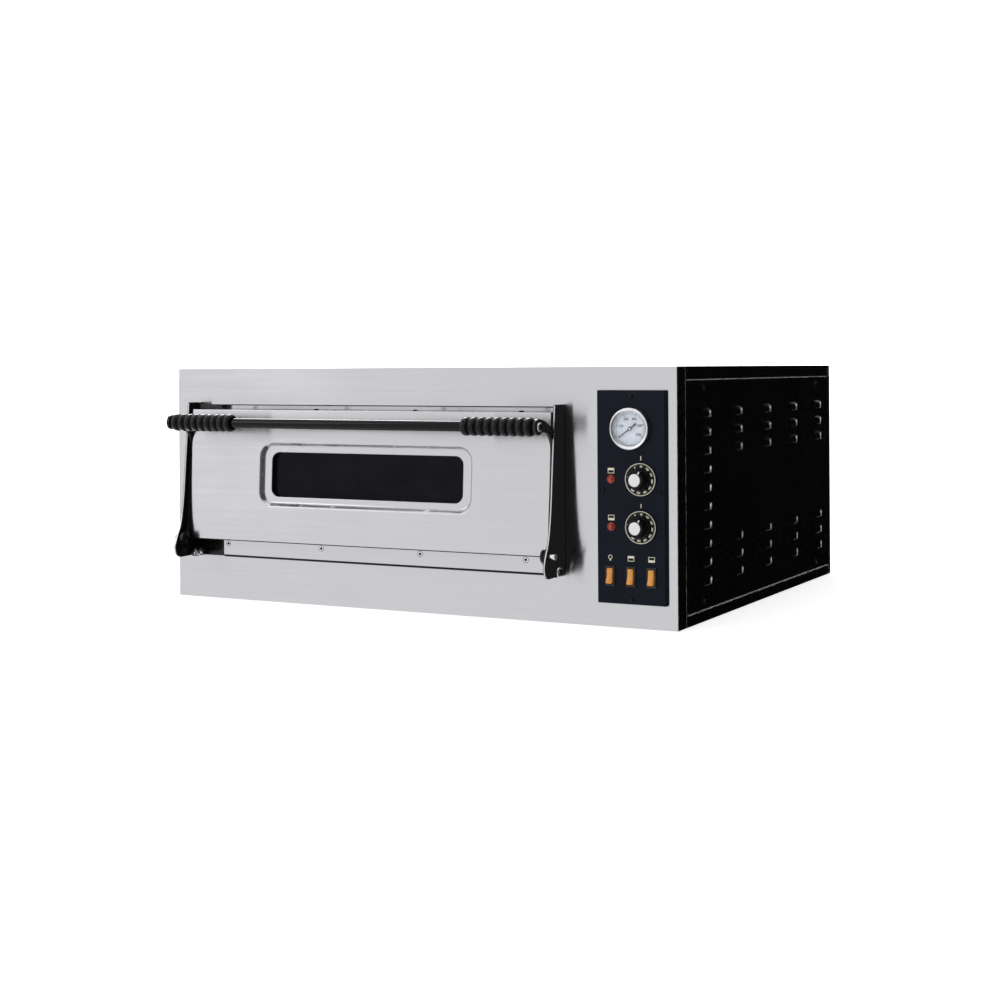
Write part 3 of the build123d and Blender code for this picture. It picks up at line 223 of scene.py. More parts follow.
def sheathed():
    """Heating element sheath: dull olive-black with heat bloom."""
    made = Shader("element_steel", (0.13, 0.12, 0.115), 0.55, 0.9)
    bloom = made.noise(30.0, (0.3, 1, 1), 5.0, 0.65)
    share = made.span(bloom, 0.3, 0.7, 0.0, 1.0)
    made.drive("Base Color", made.blend(share, (0.07, 0.065, 0.06), (0.24, 0.2, 0.17)))
    made.drive("Roughness", made.span(bloom, 0.3, 0.7, 0.42, 0.65))
    made.relief(made.noise(900.0), 0.00004)


def woven_gasket():
    """Glass-fibre braid, grey and coarse."""
    made = Shader("gasket", (0.16, 0.16, 0.15), 0.9, Sheen_Weight=0.3)
    weave = made.noise(500.0, (1, 1, 2), 3.0, 0.6)
    made.drive("Base Color", made.blend(weave, (0.08, 0.08, 0.08), (0.28, 0.27, 0.25)))
    made.relief(weave, 0.0003)


def tinted_glass():
    """Oven window: nearly black, polished, with a faint haze of grease."""
    made = Shader("dark_glass", (0.0025, 0.0025, 0.004), 0.05, Specular_IOR_Level=0.08)
    haze = made.noise(14.0, EVEN, 5.0, 0.6)
    share = made.span(haze, 0.4, 0.75, 0.0, 1.0)
    made.drive("Base Color", made.blend(share, (0.002, 0.002, 0.0035), (0.006, 0.006, 0.008)))
    made.drive("Roughness", made.span(haze, 0.3, 0.75, 0.03, 0.14))


def clear_glass():
    """Gauge and lamp glass, nearly invisible but for its shine."""
    made = Shader("clear_glass", (0.9, 0.95, 0.96), 0.04, Alpha=0.05, Specular_IOR_Level=0.25)
    haze = made.noise(30.0, EVEN, 4.0, 0.6)
    made.drive("Roughness", made.span(haze, 0.3, 0.75, 0.02, 0.1))
    made.material.surface_render_method = "BLENDED"


def polished(name, colour, roughness):
    """Plated or polished turned metal, slightly cloudy and finely pitted."""
    made = Shader(name, colour, roughness, 1.0)
    pitting = made.noise(900.0, EVEN, 3.0, 0.6)
    cloud = made.noise(50.0, EVEN, 4.0, 0.6)
    made.drive("Roughness", made.span(cloud, 0.3, 0.7, roughness - 0.03, roughness + 0.08))
    made.drive("Base Color", made.blend(cloud, scaled(colour, 0.9), colour))
    made.relief(pitting, 0.000008, 0.0004)


def lit_plastic(name, deep, pale, glow, roughness=0.22):
    """Translucent moulding, cloudy inside and with a slight glow."""
    made = Shader(name, deep, roughness, Subsurface_Weight=0.35, Coat_Weight=0.4)
    made.bsdf.inputs["Subsurface Radius"].default_value = (0.006, 0.002, 0.001)
    made.bsdf.inputs["Subsurface Scale"].default_value = 1.0
    cloud = made.noise(120.0, EVEN, 3.0, 0.6)
    made.drive("Base Color", made.blend(cloud, deep, pale))
    made.drive("Roughness", made.span(cloud, 0.3, 0.7, roughness - 0.05, roughness + 0.08))
    made.bsdf.inputs["Emission Color"].default_value = (*deep, 1)
    made.bsdf.inputs["Emission Strength"].default_value = glow
    made.relief(made.noise(700.0), 0.00003, 0.0006)


def ink(name, colour):
    """Screen-printed ink, slightly uneven."""
    made = Shader(name, colour, 0.6, Specular_IOR_Level=0.3)
    cover = made.noise(900.0, EVEN, 3.0, 0.6)
    made.drive("Base Color", made.blend(made.span(cover, 0.3, 0.75, 0.0, 1.0), colour, scaled(colour, 0.82)))
    made.relief(cover, 0.00001)


STAINLESS = (0.585, 0.585, 0.608)
STAINLESS_GLOSS = 0.17
STAINLESS_STRETCH = 0.9
BLACK = (0.001, 0.001, 0.0012)
SOOT = (0.002, 0.002, 0.0025)
brushed("fascia_steel", STAINLESS, STAINLESS_GLOSS, stretched=STAINLESS_STRETCH)
brushed("door_steel", STAINLESS, STAINLESS_GLOSS, edge=0.0022, stretched=STAINLESS_STRETCH)
brushed("zinc_steel", (0.58, 0.58, 0.6), 0.34, "Y", 0.0005, 1.6)
baked_steel()
sheathed()
# Bright metal for thin strips along edges, standing in for the highlights those edges catch: painted
# highlight.
polished("painted_highlight_edge", (0.62, 0.62, 0.64), 0.25)
polished("bright_bolt", (0.78, 0.78, 0.79), 0.1)
polished("bezel_steel", (0.86, 0.87, 0.89), 0.26)
polished("turned_cap", (0.8, 0.8, 0.8), 0.3)
painted("black_casing", BLACK, 0.1, 0.5, 1500.0, 0.000004, 0.0007, 0.2)
painted("cheek_black", (0.003, 0.0024, 0.002), 0.14, 0.3, 900.0, 0.000004, 0.0009, 0.2)
painted("rod_black", BLACK, 0.05, 0.2, 900.0, 0.000002, 0.0004, 0.1)
painted("panel_black", (0.0045, 0.0062, 0.0125), 0.42, 0.08, 1700.0, 0.00002, 0.0006, 0.2, 0.05)
painted("black_bolt", SOOT, 0.2, 0.25, 1200.0, 0.000005, 0.0004)
fire_stone()
mineral_wool()
woven_gasket()
tinted_glass()
clear_glass()
moulded("black_plastic", (0.008, 0.008, 0.009), 0.42, 0.4, 0.00003)
moulded("beige_plastic", (0.62, 0.56, 0.42), 0.5, 0.4, 0.00003)
moulded("knob_plastic", SOOT, 0.16, 0.18, 0.000005)
moulded("needle_black", (0.006, 0.006, 0.007), 0.4, 0.3, 0.00001, 0.0001)
moulded("grip_rubber", (0.0015, 0.0015, 0.002), 0.2, 0.2, 0.000008)
lit_plastic("red_lens", (0.12, 0.006, 0.004), (0.42, 0.05, 0.03), 0.02)
lit_plastic("amber_rocker", (0.56, 0.19, 0.012), (0.72, 0.34, 0.05), 0.03)
lit_plastic("bulb_glass", (0.85, 0.8, 0.68), (0.95, 0.92, 0.84), 0.1, 0.15)
ink("dial_white", (0.61, 0.65, 0.73))
ink("cream_ink", (0.72, 0.68, 0.52))
ink("grey_ink", (0.02, 0.022, 0.03))
ink("white_ink", (0.85, 0.84, 0.8))

# A node takes the material of its slot, but the door's skin has softer pressed edges than the fascia.
LOOKS = {"door_outer_skin": "door_steel"}

for row in frame["record"]["subparts"]:
    part = frame["nodes"][row["node"]]
    part.data.materials.clear()
    part.data.materials.append(MATERIALS[LOOKS.get(row["node"], row["material_slot"])])


# ------------------------------------------------------------------ mesh kit

def add_piece(name, shape, materials, body, replaces=(), sharp=35.0):
    """Makes an object from a bmesh and puts it on its body."""
    bmesh.ops.remove_doubles(shape, verts=shape.verts, dist=1e-7)
    bmesh.ops.recalc_face_normals(shape, faces=shape.faces)
    mesh = bpy.data.meshes.new(name)
    shape.to_mesh(mesh)
    shape.free()
    mesh.polygons.foreach_set("use_smooth", [True] * len(mesh.polygons))
    mesh.set_sharp_from_angle(angle=math.radians(sharp))
    for material in materials:
        mesh.materials.append(MATERIALS[material])
    piece = bpy.data.objects.new(name, mesh)
    bpy.context.scene.collection.objects.link(piece)
    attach(piece, body)
    if replaces:
        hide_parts(*replaces)


def middle(node):
    low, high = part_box(node)
    return (low + high) / 2


def round_form(turn):
    return 1.0


def hex_form(turn):
    """Radius of a hexagon at that angle, as a share of its corner radius."""
    return math.cos(math.pi / 6) / math.cos(turn % (math.pi / 3) - math.pi / 6)


def cross_form(turn):
    """Radius of a cross recess at that angle, as a share of its arm length."""
    width = 0.3
    across, along = abs(math.sin(turn)), abs(math.cos(turn))
    flat = min(1 / max(along, 1e-6), width / max(across, 1e-6))
    upright = min(width / max(along, 1e-6), 1 / max(across, 1e-6))
    return max(flat, upright)


# How many sides each kind of turned shape has.
EDGE_SIDES = 12
SMALL_SIDES = 32
SCREW_SIDES = 48
LAMP_SIDES = 64
BOLT_SIDES = 72
ROUND_SIDES = 96
SKIRT_SIDES = 128
KNOB_SIDES = 160


def lathe(shape, profile, origin, along, sides, face_index=0):
    """Turns (distance, radius[, form]) points, in millimetres, about a line.

    face_index picks one of the materials that the piece is given.
    """
    along = Vector(along).normalized()
    across = UP if abs(along.z) < 0.9 else RIGHT
    third = along.cross(across)
    rings = []
    for distance, radius, *forms in profile:
        form = forms[0] if forms else round_form
        centre = origin + along * distance * MM
        if radius <= 0:
            rings.append([shape.verts.new(centre)])
            continue
        ring = []
        for step in range(sides):
            turn = math.tau * step / sides
            reach = radius * form(turn) * MM
            ring.append(shape.verts.new(centre + (across * math.cos(turn) + third * math.sin(turn)) * reach))
        rings.append(ring)
    for near, far in zip(rings, rings[1:]):
        for step in range(sides):
            after = (step + 1) % sides
            if len(near) == 1 and len(far) == 1:
                break
            if len(near) == 1:
                corners = (near[0], far[step], far[after])
            elif len(far) == 1:
                corners = (near[step], near[after], far[0])
            else:
                corners = (near[step], near[after], far[after], far[step])
            shape.faces.new(corners).material_index = face_index


def tube_between(shape, rings):
    """Closes a row of equal rings of vertices into a solid."""
    count = len(rings[0])
    for near, far in zip(rings, rings[1:]):
        for i in range(count):
            j = (i + 1) % count
            shape.faces.new((near[i], near[j], far[j], far[i]))
    shape.faces.new(rings[0])
    shape.faces.new(rings[-1])


def rounded_profile(points, radius, steps=4):
    """A profile whose inner corners are replaced by short arcs of about that radius."""
    made = [points[0]]
    for before, corner, after in zip(points, points[1:], points[2:]):
        a, b, c = Vector(before), Vector(corner), Vector(after)
        cut = min(radius, (a - b).length * 0.45, (c - b).length * 0.45)
        start, end = b + (a - b).normalized() * cut, b + (c - b).normalized() * cut
        for step in range(steps + 1):
            t = step / steps
            at = start * (1 - t) ** 2 + b * 2 * t * (1 - t) + end * t * t
            made.append((at.x, at.y))
    made.append(points[-1])
    return made


def smooth_run(points, steps=8):
    """A Catmull-Rom curve through the points."""
    padded = [points[0], *points, points[-1]]
    made = []
    for a, b, c, d in zip(padded, padded[1:], padded[2:], padded[3:]):
        for step in range(steps):
            t = step / steps
            made.append(tuple(
                0.5 * (2 * q + (r - p) * t + (2 * p - 5 * q + 4 * r - w) * t ** 2
                       + (3 * q - p - 3 * r + w) * t ** 3)
                for p, q, r, w in zip(a, b, c, d)
            ))
    return made + [points[-1]]


def soft_box(shape, low, high, edge):
    """A box between two corners, its edges rounded."""
    low, high = Vector(low), Vector(high)
    made = bmesh.ops.create_cube(shape, size=1.0)["verts"]
    for v in made:
        v.co = Vector((low[i] + (v.co[i] + 0.5) * (high[i] - low[i]) for i in range(3)))
    edges = list({e for v in made for e in v.link_edges})
    bmesh.ops.bevel(shape, geom=edges, offset=edge, segments=2, profile=0.5, affect="EDGES")


def flat_figure(shape, outline, place, depth, face_index=0):
    """Extrudes an outline, (right, up) in millimetres, outwards from a point on a front face."""
    back = [shape.verts.new(place + RIGHT * x * MM + UP * z * MM) for x, z in outline]
    front = [shape.verts.new(v.co + OUTWARD * depth * MM) for v in back]
    shape.faces.new(front).material_index = face_index
    for i, near in enumerate(back):
        j = (i + 1) % len(back)
        shape.faces.new((near, back[j], front[j], front[i])).material_index = face_index


def bar_outline(width, height, x=0.0, z=0.0):
    return [(x - width / 2, z - height / 2), (x + width / 2, z - height / 2),
            (x + width / 2, z + height / 2), (x - width / 2, z + height / 2)]


def turned_outline(outline, angle):
    c, s = math.cos(angle), math.sin(angle)
    return [(x * c - z * s, x * s + z * c) for x, z in outline]


def round_face(centre, angle, radius, height):
    """A point so far out and so high on a round front face, in millimetres."""
    return centre + (RIGHT * math.cos(angle) + UP * math.sin(angle)) * radius * MM + OUTWARD * height * MM


FONT_SIZE = 1.35
FONT_WEIGHT = 0.03


def add_number(shape, text, height, place, angle, face_index):
    """Flat digits of that height on a front face, centred on a point, turned by an angle."""
    curve = bpy.data.curves.new("digits", "FONT")
    curve.body = text
    curve.size = height * FONT_SIZE * MM
    curve.offset = height * FONT_WEIGHT * MM
    curve.align_x = "CENTER"
    curve.align_y = "CENTER"
    curve.resolution_u = 3
    holder = bpy.data.objects.new("digits", curve)
    mesh = bpy.data.meshes.new_from_object(holder)
    upright = Matrix.Rotation(math.radians(90), 4, "X")
    mesh.transform(Matrix.Translation(place) @ upright @ Matrix.Rotation(angle, 4, "Z"))
    start = len(shape.faces)
    shape.from_mesh(mesh)
    shape.faces.ensure_lookup_table()
    for f in shape.faces[start:]:
        f.material_index = face_index
    bpy.data.objects.remove(holder)
    bpy.data.curves.remove(curve)
    bpy.data.meshes.remove(mesh)


# ------------------------------------------------------------------ side skins with louvres

LOUVRE_L = 65.0
LOUVRE_H = 15.0
LOUVRE_PITCH_Z = 30.2
LOUVRE_TOP_Z = 338.0
LOUVRE_FIRST_Y = 122.0
LOUVRE_PITCH_Y = 152.0
LOUVRE_COLUMNS = 5
LOUVRE_ROWS = 10
GROUP_ROWS = 3
SLOT_INSET = 4.0
SLOT_H = 4.0

HOOD_REACH = 4.4
HOOD_SHEET = 0.9
# The middle share of a hood is straight, and its ends come down to the skin along a slight curve. It
# reaches out fully a little before its lip, and its inside goes no deeper than BURIED into the skin.
FLAT_SHARE = 0.42
END_CURVE = 1.15
CREST = 1.1
BURIED = -0.3
END_TAPER = 0.4
HOOD_ACROSS = 20
HOOD_DOWN = 9


def louvre_places():
    """(y, z) in metres of each louvre: one full column, then an upper and a lower group."""
    places = []
    for column in range(LOUVRE_COLUMNS):
        y = FRONT_Y + (LOUVRE_FIRST_Y + column * LOUVRE_PITCH_Y) * MM
        for row in range(LOUVRE_ROWS):
            if column == 0 or row < GROUP_ROWS or row >= LOUVRE_ROWS - GROUP_ROWS:
                places.append((y, (LOUVRE_TOP_Z - row * LOUVRE_PITCH_Z) * MM))
    return places


def louvre_slot(y, z):
    """The lowest and highest (y, z) of the cut under a hood centred at a point."""
    half = (LOUVRE_L / 2 - SLOT_INSET) * MM
    return (y - half, z - LOUVRE_H / 2 * MM), (y + half, z + (SLOT_H - LOUVRE_H / 2) * MM)


def slotted_plate(shape, outer_x, inner_x, low, high, holes):
    """A plate across X with rectangular holes, made from the cells of a grid."""
    cuts = []
    for axis in (0, 1):
        values = {low[axis], high[axis]}
        for hole in holes:
            values |= {hole[0][axis], hole[1][axis]}
        cuts.append(sorted(values))
    corners = {}

    def corner(x, i, j):
        key = (x, i, j)
        if key not in corners:
            corners[key] = shape.verts.new((x, cuts[0][i], cuts[1][j]))
        return corners[key]

    def filled(i, j):
        if not (0 <= i < len(cuts[0]) - 1 and 0 <= j < len(cuts[1]) - 1):
            return False
        y, z = (cuts[0][i] + cuts[0][i + 1]) / 2, (cuts[1][j] + cuts[1][j + 1]) / 2
        return not any(a[0] < y < b[0] and a[1] < z < b[1] for a, b in holes)

    for i in range(len(cuts[0]) - 1):
        for j in range(len(cuts[1]) - 1):
            if not filled(i, j):
                continue
            for x in (outer_x, inner_x):
                shape.faces.new([corner(x, *at) for at in ((i, j), (i + 1, j), (i + 1, j + 1), (i, j + 1))])
            sides = ((-1, 0, (i, j), (i, j + 1)), (1, 0, (i + 1, j), (i + 1, j + 1)),
                     (0, -1, (i, j), (i + 1, j)), (0, 1, (i, j + 1), (i + 1, j + 1)))
            for di, dj, a, b in sides:
                if not filled(i + di, j + dj):
                    rim = ((outer_x, a), (outer_x, b), (inner_x, b), (inner_x, a))
                    shape.faces.new([corner(x, *at) for x, at in rim])


def louvre_hood(shape, side, y, z):
    """A pressed scoop: it rises from its top edge, ends in a cut lip and has rounded ends."""
    rows = []
    for inner in (0.0, HOOD_SHEET):
        for j in range(HOOD_DOWN + 1):
            t = j / HOOD_DOWN
            row = []
            for i in range(HOOD_ACROSS + 1):
                s = -math.cos(math.pi * i / HOOD_ACROSS)
                end = max(0.0, (abs(s) - FLAT_SHARE) / (1 - FLAT_SHARE))
                rise = (1 - end ** END_CURVE) * math.sin(min(1.0, t * CREST) * math.pi / 2)
                reach = max(HOOD_REACH * rise - inner, BURIED)
                row.append(shape.verts.new((
                    side * (SKIN_X + reach * MM), y + s * (LOUVRE_L / 2 - inner * END_TAPER) * MM,
                    z + (LOUVRE_H / 2 - t * LOUVRE_H) * MM,
                )))
            rows.append(row)
    shell = HOOD_DOWN + 1
    outer, inside = rows[:shell], rows[shell:]
    strips = [*zip(outer, outer[1:]), *zip(inside, inside[1:]), (outer[-1], inside[-1])]
    for a, b in strips:
        for i in range(HOOD_ACROSS):
            shape.faces.new((a[i], a[i + 1], b[i + 1], b[i]))


for side, node in ((-1, "left_side_panel"), (1, "right_side_panel")):
    low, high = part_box(node)
    slots = [louvre_slot(y, z) for y, z in louvre_places()]
    skin = bmesh.new()
    slotted_plate(skin, side * SKIN_X, side * (SKIN_X - SHEET), (low.y, low.z), (high.y, high.z), slots)
    for y, z in louvre_places():
        louvre_hood(skin, side, y, z)
    add_piece("louvred_" + node, skin, ["black_casing"], "casing", [node], 50)


# ------------------------------------------------------------------ bright strips on the flange edges: painted highlights

PAN_FLANGE_Z = 18.5
COVER_FLANGE_Z = 391.0
FLANGE_FRONT = 37.0
FLANGE_L = 756.0
EDGE_SINK = 0.4 * MM
EDGE_END = 2.0
PAN_EDGE_R = 0.9
COVER_EDGE_R = PAN_EDGE_R * 0.8
POST_EDGE_R = PAN_EDGE_R * 0.3

# Thin bright rods sunk into the casing's flange and post edges give painted highlight lines along them.
flange_highlight_strips = bmesh.new()
for side in (-1, 1):
    for z, along, length, radius in (
        (PAN_FLANGE_Z, -OUTWARD, FLANGE_L, PAN_EDGE_R),
        (COVER_FLANGE_Z, -OUTWARD, FLANGE_L, COVER_EDGE_R),
        (COVER_FLANGE_Z, UP, TOP_Z / MM - EDGE_END - COVER_FLANGE_Z, COVER_EDGE_R),
        (EDGE_END, UP, COVER_FLANGE_Z - EDGE_END, POST_EDGE_R),
    ):
        start = Vector((side * (HALF_W - EDGE_SINK), FRONT_Y + FLANGE_FRONT * MM, z * MM))
        lathe(flange_highlight_strips, [(0, 0), (0, radius), (length, radius), (length, 0)], start, along, EDGE_SIDES)
add_piece("flange_highlight_strips", flange_highlight_strips, ["painted_highlight_edge"], "casing")


# ------------------------------------------------------------------ screws

def screw_profile(head, height, recess, form):
    """Domed head from its seat outwards, then a recess of the given form."""
    return [
        (0, head), (height * 0.35, head * 0.99), (height * 0.7, head * 0.86), (height * 0.95, head * 0.62),
        (height, recess * 1.06), (height, recess, form),
        (height * 0.45, recess * 0.9, form), (height * 0.4, 0),
    ]


CASING_SCREW = screw_profile(4.4, 2.5, 2.3, cross_form)
SIDE_SCREW_YS = (115.0, 720.0)
SIDE_SCREW_ZS = (31.5, 378.0)
REAR_SCREW_INSET = 30 * MM
REAR_SCREW_DROP = 24.0 * MM

casing_screw_heads = bmesh.new()
for side in (-1, 1):
    for along in SIDE_SCREW_YS:
        for z in SIDE_SCREW_ZS:
            place = Vector((side * SKIN_X, FRONT_Y + along * MM, z * MM))
            lathe(casing_screw_heads, CASING_SCREW, place, RIGHT * side, SCREW_SIDES)
    for z in (REAR_SCREW_DROP, TOP_Z - REAR_SCREW_DROP):
        place = Vector((side * (HALF_W - REAR_SCREW_INSET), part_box("rear_panel")[1].y, z))
        lathe(casing_screw_heads, CASING_SCREW, place, -OUTWARD, SCREW_SIDES)
add_piece("casing_screw_heads", casing_screw_heads, ["black_bolt"], "casing", ["casing_screws"])

PANEL_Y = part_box("control_panel")[0].y
PANEL_MID = middle("control_panel")
PANEL_SCREW = screw_profile(3.9, 2.1, 2.0, cross_form)
PANEL_SCREW_R = 4 * MM
SIDE_SCREW_LIFT = 9 * MM

panel_screw_heads = bmesh.new()
low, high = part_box("panel_screws")
for x, z in (
    (PANEL_MID.x, high.z - PANEL_SCREW_R), (PANEL_MID.x, low.z + PANEL_SCREW_R),
    (low.x + PANEL_SCREW_R, PANEL_MID.z + SIDE_SCREW_LIFT),
    (high.x - PANEL_SCREW_R, PANEL_MID.z + SIDE_SCREW_LIFT),
):
    lathe(panel_screw_heads, PANEL_SCREW, Vector((x, PANEL_Y, z)), OUTWARD, SCREW_SIDES)
add_piece("panel_screw_heads", panel_screw_heads, ["black_bolt"], "casing", ["panel_screws"])

# A sill screw is a countersunk bright head with a hexagonal socket. The dark ring round it and the black
# inside of its socket are painted shade in the countersink and the socket.
SILL_SCREWS = 4
SILL_SCREW_R = 4.4 * MM
STRIP_LO, STRIP_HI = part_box("sill_strip")

sill_screw_heads = bmesh.new()
low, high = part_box("sill_screws")
for index in range(SILL_SCREWS):
    across = high.x - low.x - 2 * SILL_SCREW_R
    x = low.x + SILL_SCREW_R + across * index / (SILL_SCREWS - 1)
    place = Vector((x, STRIP_LO.y, (low.z + high.z) / 2))
    ring = [(-2.4, 2.2), (0.0, 4.6), (0.02, 5.2), (0.14, 5.1), (0.14, 4.3)]
    head = [(0.14, 4.3), (0.2, 4.0), (0.2, 2.6), (0.1, 2.4)]
    socket = [(0.1, 2.4), (-0.2, 2.3, hex_form), (-1.6, 1.9, hex_form), (-1.7, 0)]
    for profile, face_index in ((ring, 1), (head, 0), (socket, 1)):
        lathe(sill_screw_heads, profile, place, OUTWARD, SCREW_SIDES, face_index)
add_piece("sill_screw_heads", sill_screw_heads, ["bright_bolt", "black_bolt"],
          "casing", ["sill_screws"])


# ------------------------------------------------------------------ dark strips round the door: painted shade

SHADE_STRIP_GAP = 0.1 * MM
SHADE_STRIP_REACH = 4.2 * MM
LOWER_SHADE_STRIP_H = 3.4 * MM
UPPER_SHADE_STRIP_H = 2.6 * MM
SHADE_STRIP_EDGE = 0.8 * MM
THIN_EDGE = 0.3 * MM
# The painted shade strip under the aperture's top reaches past the sill strip at both ends.
HEAD_SHADE_STRIP_H = 1.6 * MM
HEAD_SHADE_STRIP_LEFT = 20 * MM
HEAD_SHADE_STRIP_RIGHT = 14 * MM
HEAD_SHADE_STRIP_FRONT = 0.2 * MM
HEAD_SHADE_STRIP_BACK = 6 * MM
APERTURE_TOP_Z = 348.7 * MM

# Black strips just under and just over the sill strip, and one along the aperture's top, stand in for the
# shade in those gaps: painted shade.
shade_strips = bmesh.new()
for z_low, z_high in ((STRIP_LO.z - LOWER_SHADE_STRIP_H, STRIP_LO.z - SHADE_STRIP_GAP),
                      (STRIP_HI.z + SHADE_STRIP_GAP, STRIP_HI.z + UPPER_SHADE_STRIP_H)):
    soft_box(shade_strips, (STRIP_LO.x, FRONT_Y - SHADE_STRIP_REACH, z_low), (STRIP_HI.x, FRONT_Y, z_high), SHADE_STRIP_EDGE)
soft_box(shade_strips,
         (STRIP_LO.x - HEAD_SHADE_STRIP_LEFT, FRONT_Y + HEAD_SHADE_STRIP_FRONT, APERTURE_TOP_Z - HEAD_SHADE_STRIP_H),
         (STRIP_HI.x + HEAD_SHADE_STRIP_RIGHT, FRONT_Y + HEAD_SHADE_STRIP_BACK, APERTURE_TOP_Z), THIN_EDGE)
add_piece("aperture_shade_strips", shade_strips, ["grip_rubber"], "casing")

# A black strip under the door's bottom front edge stands in for the shade there: painted shade.
DOOR_SHADE_H = 1.5 * MM
DOOR_SHADE_INSET = 2 * MM
DOOR_SHADE_FRONT = 0.5 * MM
DOOR_SHADE_BACK = 4 * MM

drips_and_door_shade = bmesh.new()
low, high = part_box("door_outer_skin")
soft_box(drips_and_door_shade, (low.x + DOOR_SHADE_INSET, low.y + DOOR_SHADE_FRONT, low.z - DOOR_SHADE_H),
         (high.x - DOOR_SHADE_INSET, low.y + DOOR_SHADE_BACK, low.z), THIN_EDGE)
add_piece("door_bottom_shade_strip", drips_and_door_shade, ["grip_rubber"], "door")


# ------------------------------------------------------------------ gauge

GAUGE = middle("gauge_dial")
DIAL_AT = Vector((GAUGE.x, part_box("gauge_dial")[0].y, GAUGE.z))

gauge_bezel = bmesh.new()
lathe(gauge_bezel, [(-30, 0), (-30, 29.8)] + rounded_profile([
    (-8, 30), (0, 30), (0, 34), (5.2, 34), (8.6, 32.6), (8.9, 31.0), (7.6, 28.4), (5.6, 27.4), (5.4, 27.6),
    (5.4, 29.2),
], 1.0) + [(0.1, 29.2), (0.1, 0)], Vector((GAUGE.x, PANEL_Y, GAUGE.z)), OUTWARD, ROUND_SIDES)
add_piece("gauge_bezel", gauge_bezel, ["bezel_steel"], "casing", ["gauge_case"])

# The scale runs clockwise from the lower left, with a number at every tenth tick.
SCALE_START = math.radians(217)
SCALE_SWEEP = math.radians(250)
SCALE_STEPS = 50
STEPS_PER_NUMBER = 10
DEGREES_PER_STEP = 10
TICK_R = 25.2
# Length and width of a tick with a number and of one without.
MAJOR_TICK = (4.4, 0.85)
MINOR_TICK = (2.4, 0.4)
NUMBER_R = 16.6
NUMBER_H = 4.3
DIAL_PRINT = 0.08

dial_face = bmesh.new()
lathe(dial_face, [(-0.8, 0), (-0.8, 29.0), (-0.1, 29.1), (0, 28.9), (0, 0)], DIAL_AT, OUTWARD, ROUND_SIDES)
for step in range(SCALE_STEPS + 1):
    angle = SCALE_START - SCALE_SWEEP * step / SCALE_STEPS
    major = step % STEPS_PER_NUMBER == 0
    length, width = MAJOR_TICK if major else MINOR_TICK
    tick = turned_outline(bar_outline(length, width, TICK_R - length / 2), angle)
    flat_figure(dial_face, tick, DIAL_AT, DIAL_PRINT, 1)
    if major:
        at = round_face(DIAL_AT, angle, NUMBER_R, DIAL_PRINT + 0.01)
        add_number(dial_face, str(step * DEGREES_PER_STEP), NUMBER_H, at, 0.0, 1)
add_piece("gauge_scale", dial_face, ["dial_white", "grey_ink"], "casing", ["gauge_dial"])

NEEDLE_LIFT = 2.2 * MM
NEEDLE_SHEET = 0.6

needle = bmesh.new()
needle_at = DIAL_AT + OUTWARD * NEEDLE_LIFT
blade = [(-13, -1.7), (-8, -1.5), (0, -1.1), (23.6, -0.5), (23.6, 0.5), (0, 1.1), (-8, 1.5), (-13, 1.7)]
hub = rounded_profile([(-4.6, 1.0), (-0.4, 1.0), (-0.4, 3.2), (1.2, 3.2), (1.5, 0)], 0.4)
flat_figure(needle, turned_outline(blade, SCALE_START), needle_at, NEEDLE_SHEET)
lathe(needle, hub, needle_at, OUTWARD, SCREW_SIDES)
lathe(needle, [(1.45, 1.7), (1.75, 1.5), (1.9, 0)], needle_at, OUTWARD, SMALL_SIDES, 1)
add_piece("gauge_hand", needle, ["needle_black", "bright_bolt"], "needle", ["gauge_needle"])


# ------------------------------------------------------------------ knobs

SKIRT_R = 26.5
GRIP_R = 17.2
FLUTES = 16
FLUTE_DEPTH = 1.3
KNOB_GAP = 0.8 * MM
# The skirt's scale: a tick every 10 degrees of turn and a number every 30.
KNOB_TICKS = 31
TICK_TURN = 10
TICKS_PER_NUMBER = 3
FIRST_TICK = 90 + 24
KNOB_TICK_R = 24.1
KNOB_MAJOR_TICK = (1.6, 0.42)
KNOB_MINOR_TICK = (0.9, 0.42)
KNOB_NUMBER_R = 20.7
KNOB_NUMBER_H = 3.0
HEAT_PER_NUMBER = 50
POINTER_TURN = math.radians(62)
# How far above its seat each of a knob's marked faces lies.
TICKS_RISE = 2.75
NUMBERS_RISE = 3.46
CROWN_RISE = 24.0
KNOB_PRINT = 0.22


def fluted_form(turn):
    """Radius round the grip at that angle, as a share of its full radius."""
    return 1 - FLUTE_DEPTH * (0.5 + 0.5 * math.cos(turn * FLUTES)) ** 3 / GRIP_R


KNOB_BODY = [
    (-20.6, 0), (-20.6, 3.0), (0, 3.0), (0, 26.2), (0.4, SKIRT_R), (1.4, 26.4), (2.5, 25.4), (3.0, 23.0),
    (3.5, 18.8), (4.6, GRIP_R + 0.6), (6.4, GRIP_R, fluted_form), (20.6, GRIP_R - 1.8, fluted_form),
    (23.0, GRIP_R - 2.5, fluted_form), (24.2, GRIP_R - 4.0), (24.4, 11.6), (24.0, 10.8), (22.6, 10.6),
    (22.6, 0),
]
KNOB_CAP = rounded_profile([(22.0, 10.1), (25.6, 10.1), (26.0, 9.3), (25.9, 0)], 0.5)
SKIRT_RING = [(2.5, 25.75), (2.68, 25.6), (2.74, 25.1), (2.72, 24.75), (2.6, 24.7)]
POINTER = [(11.4, -1.3), (15.6, -0.4), (15.6, 0.4), (11.4, 1.3)]


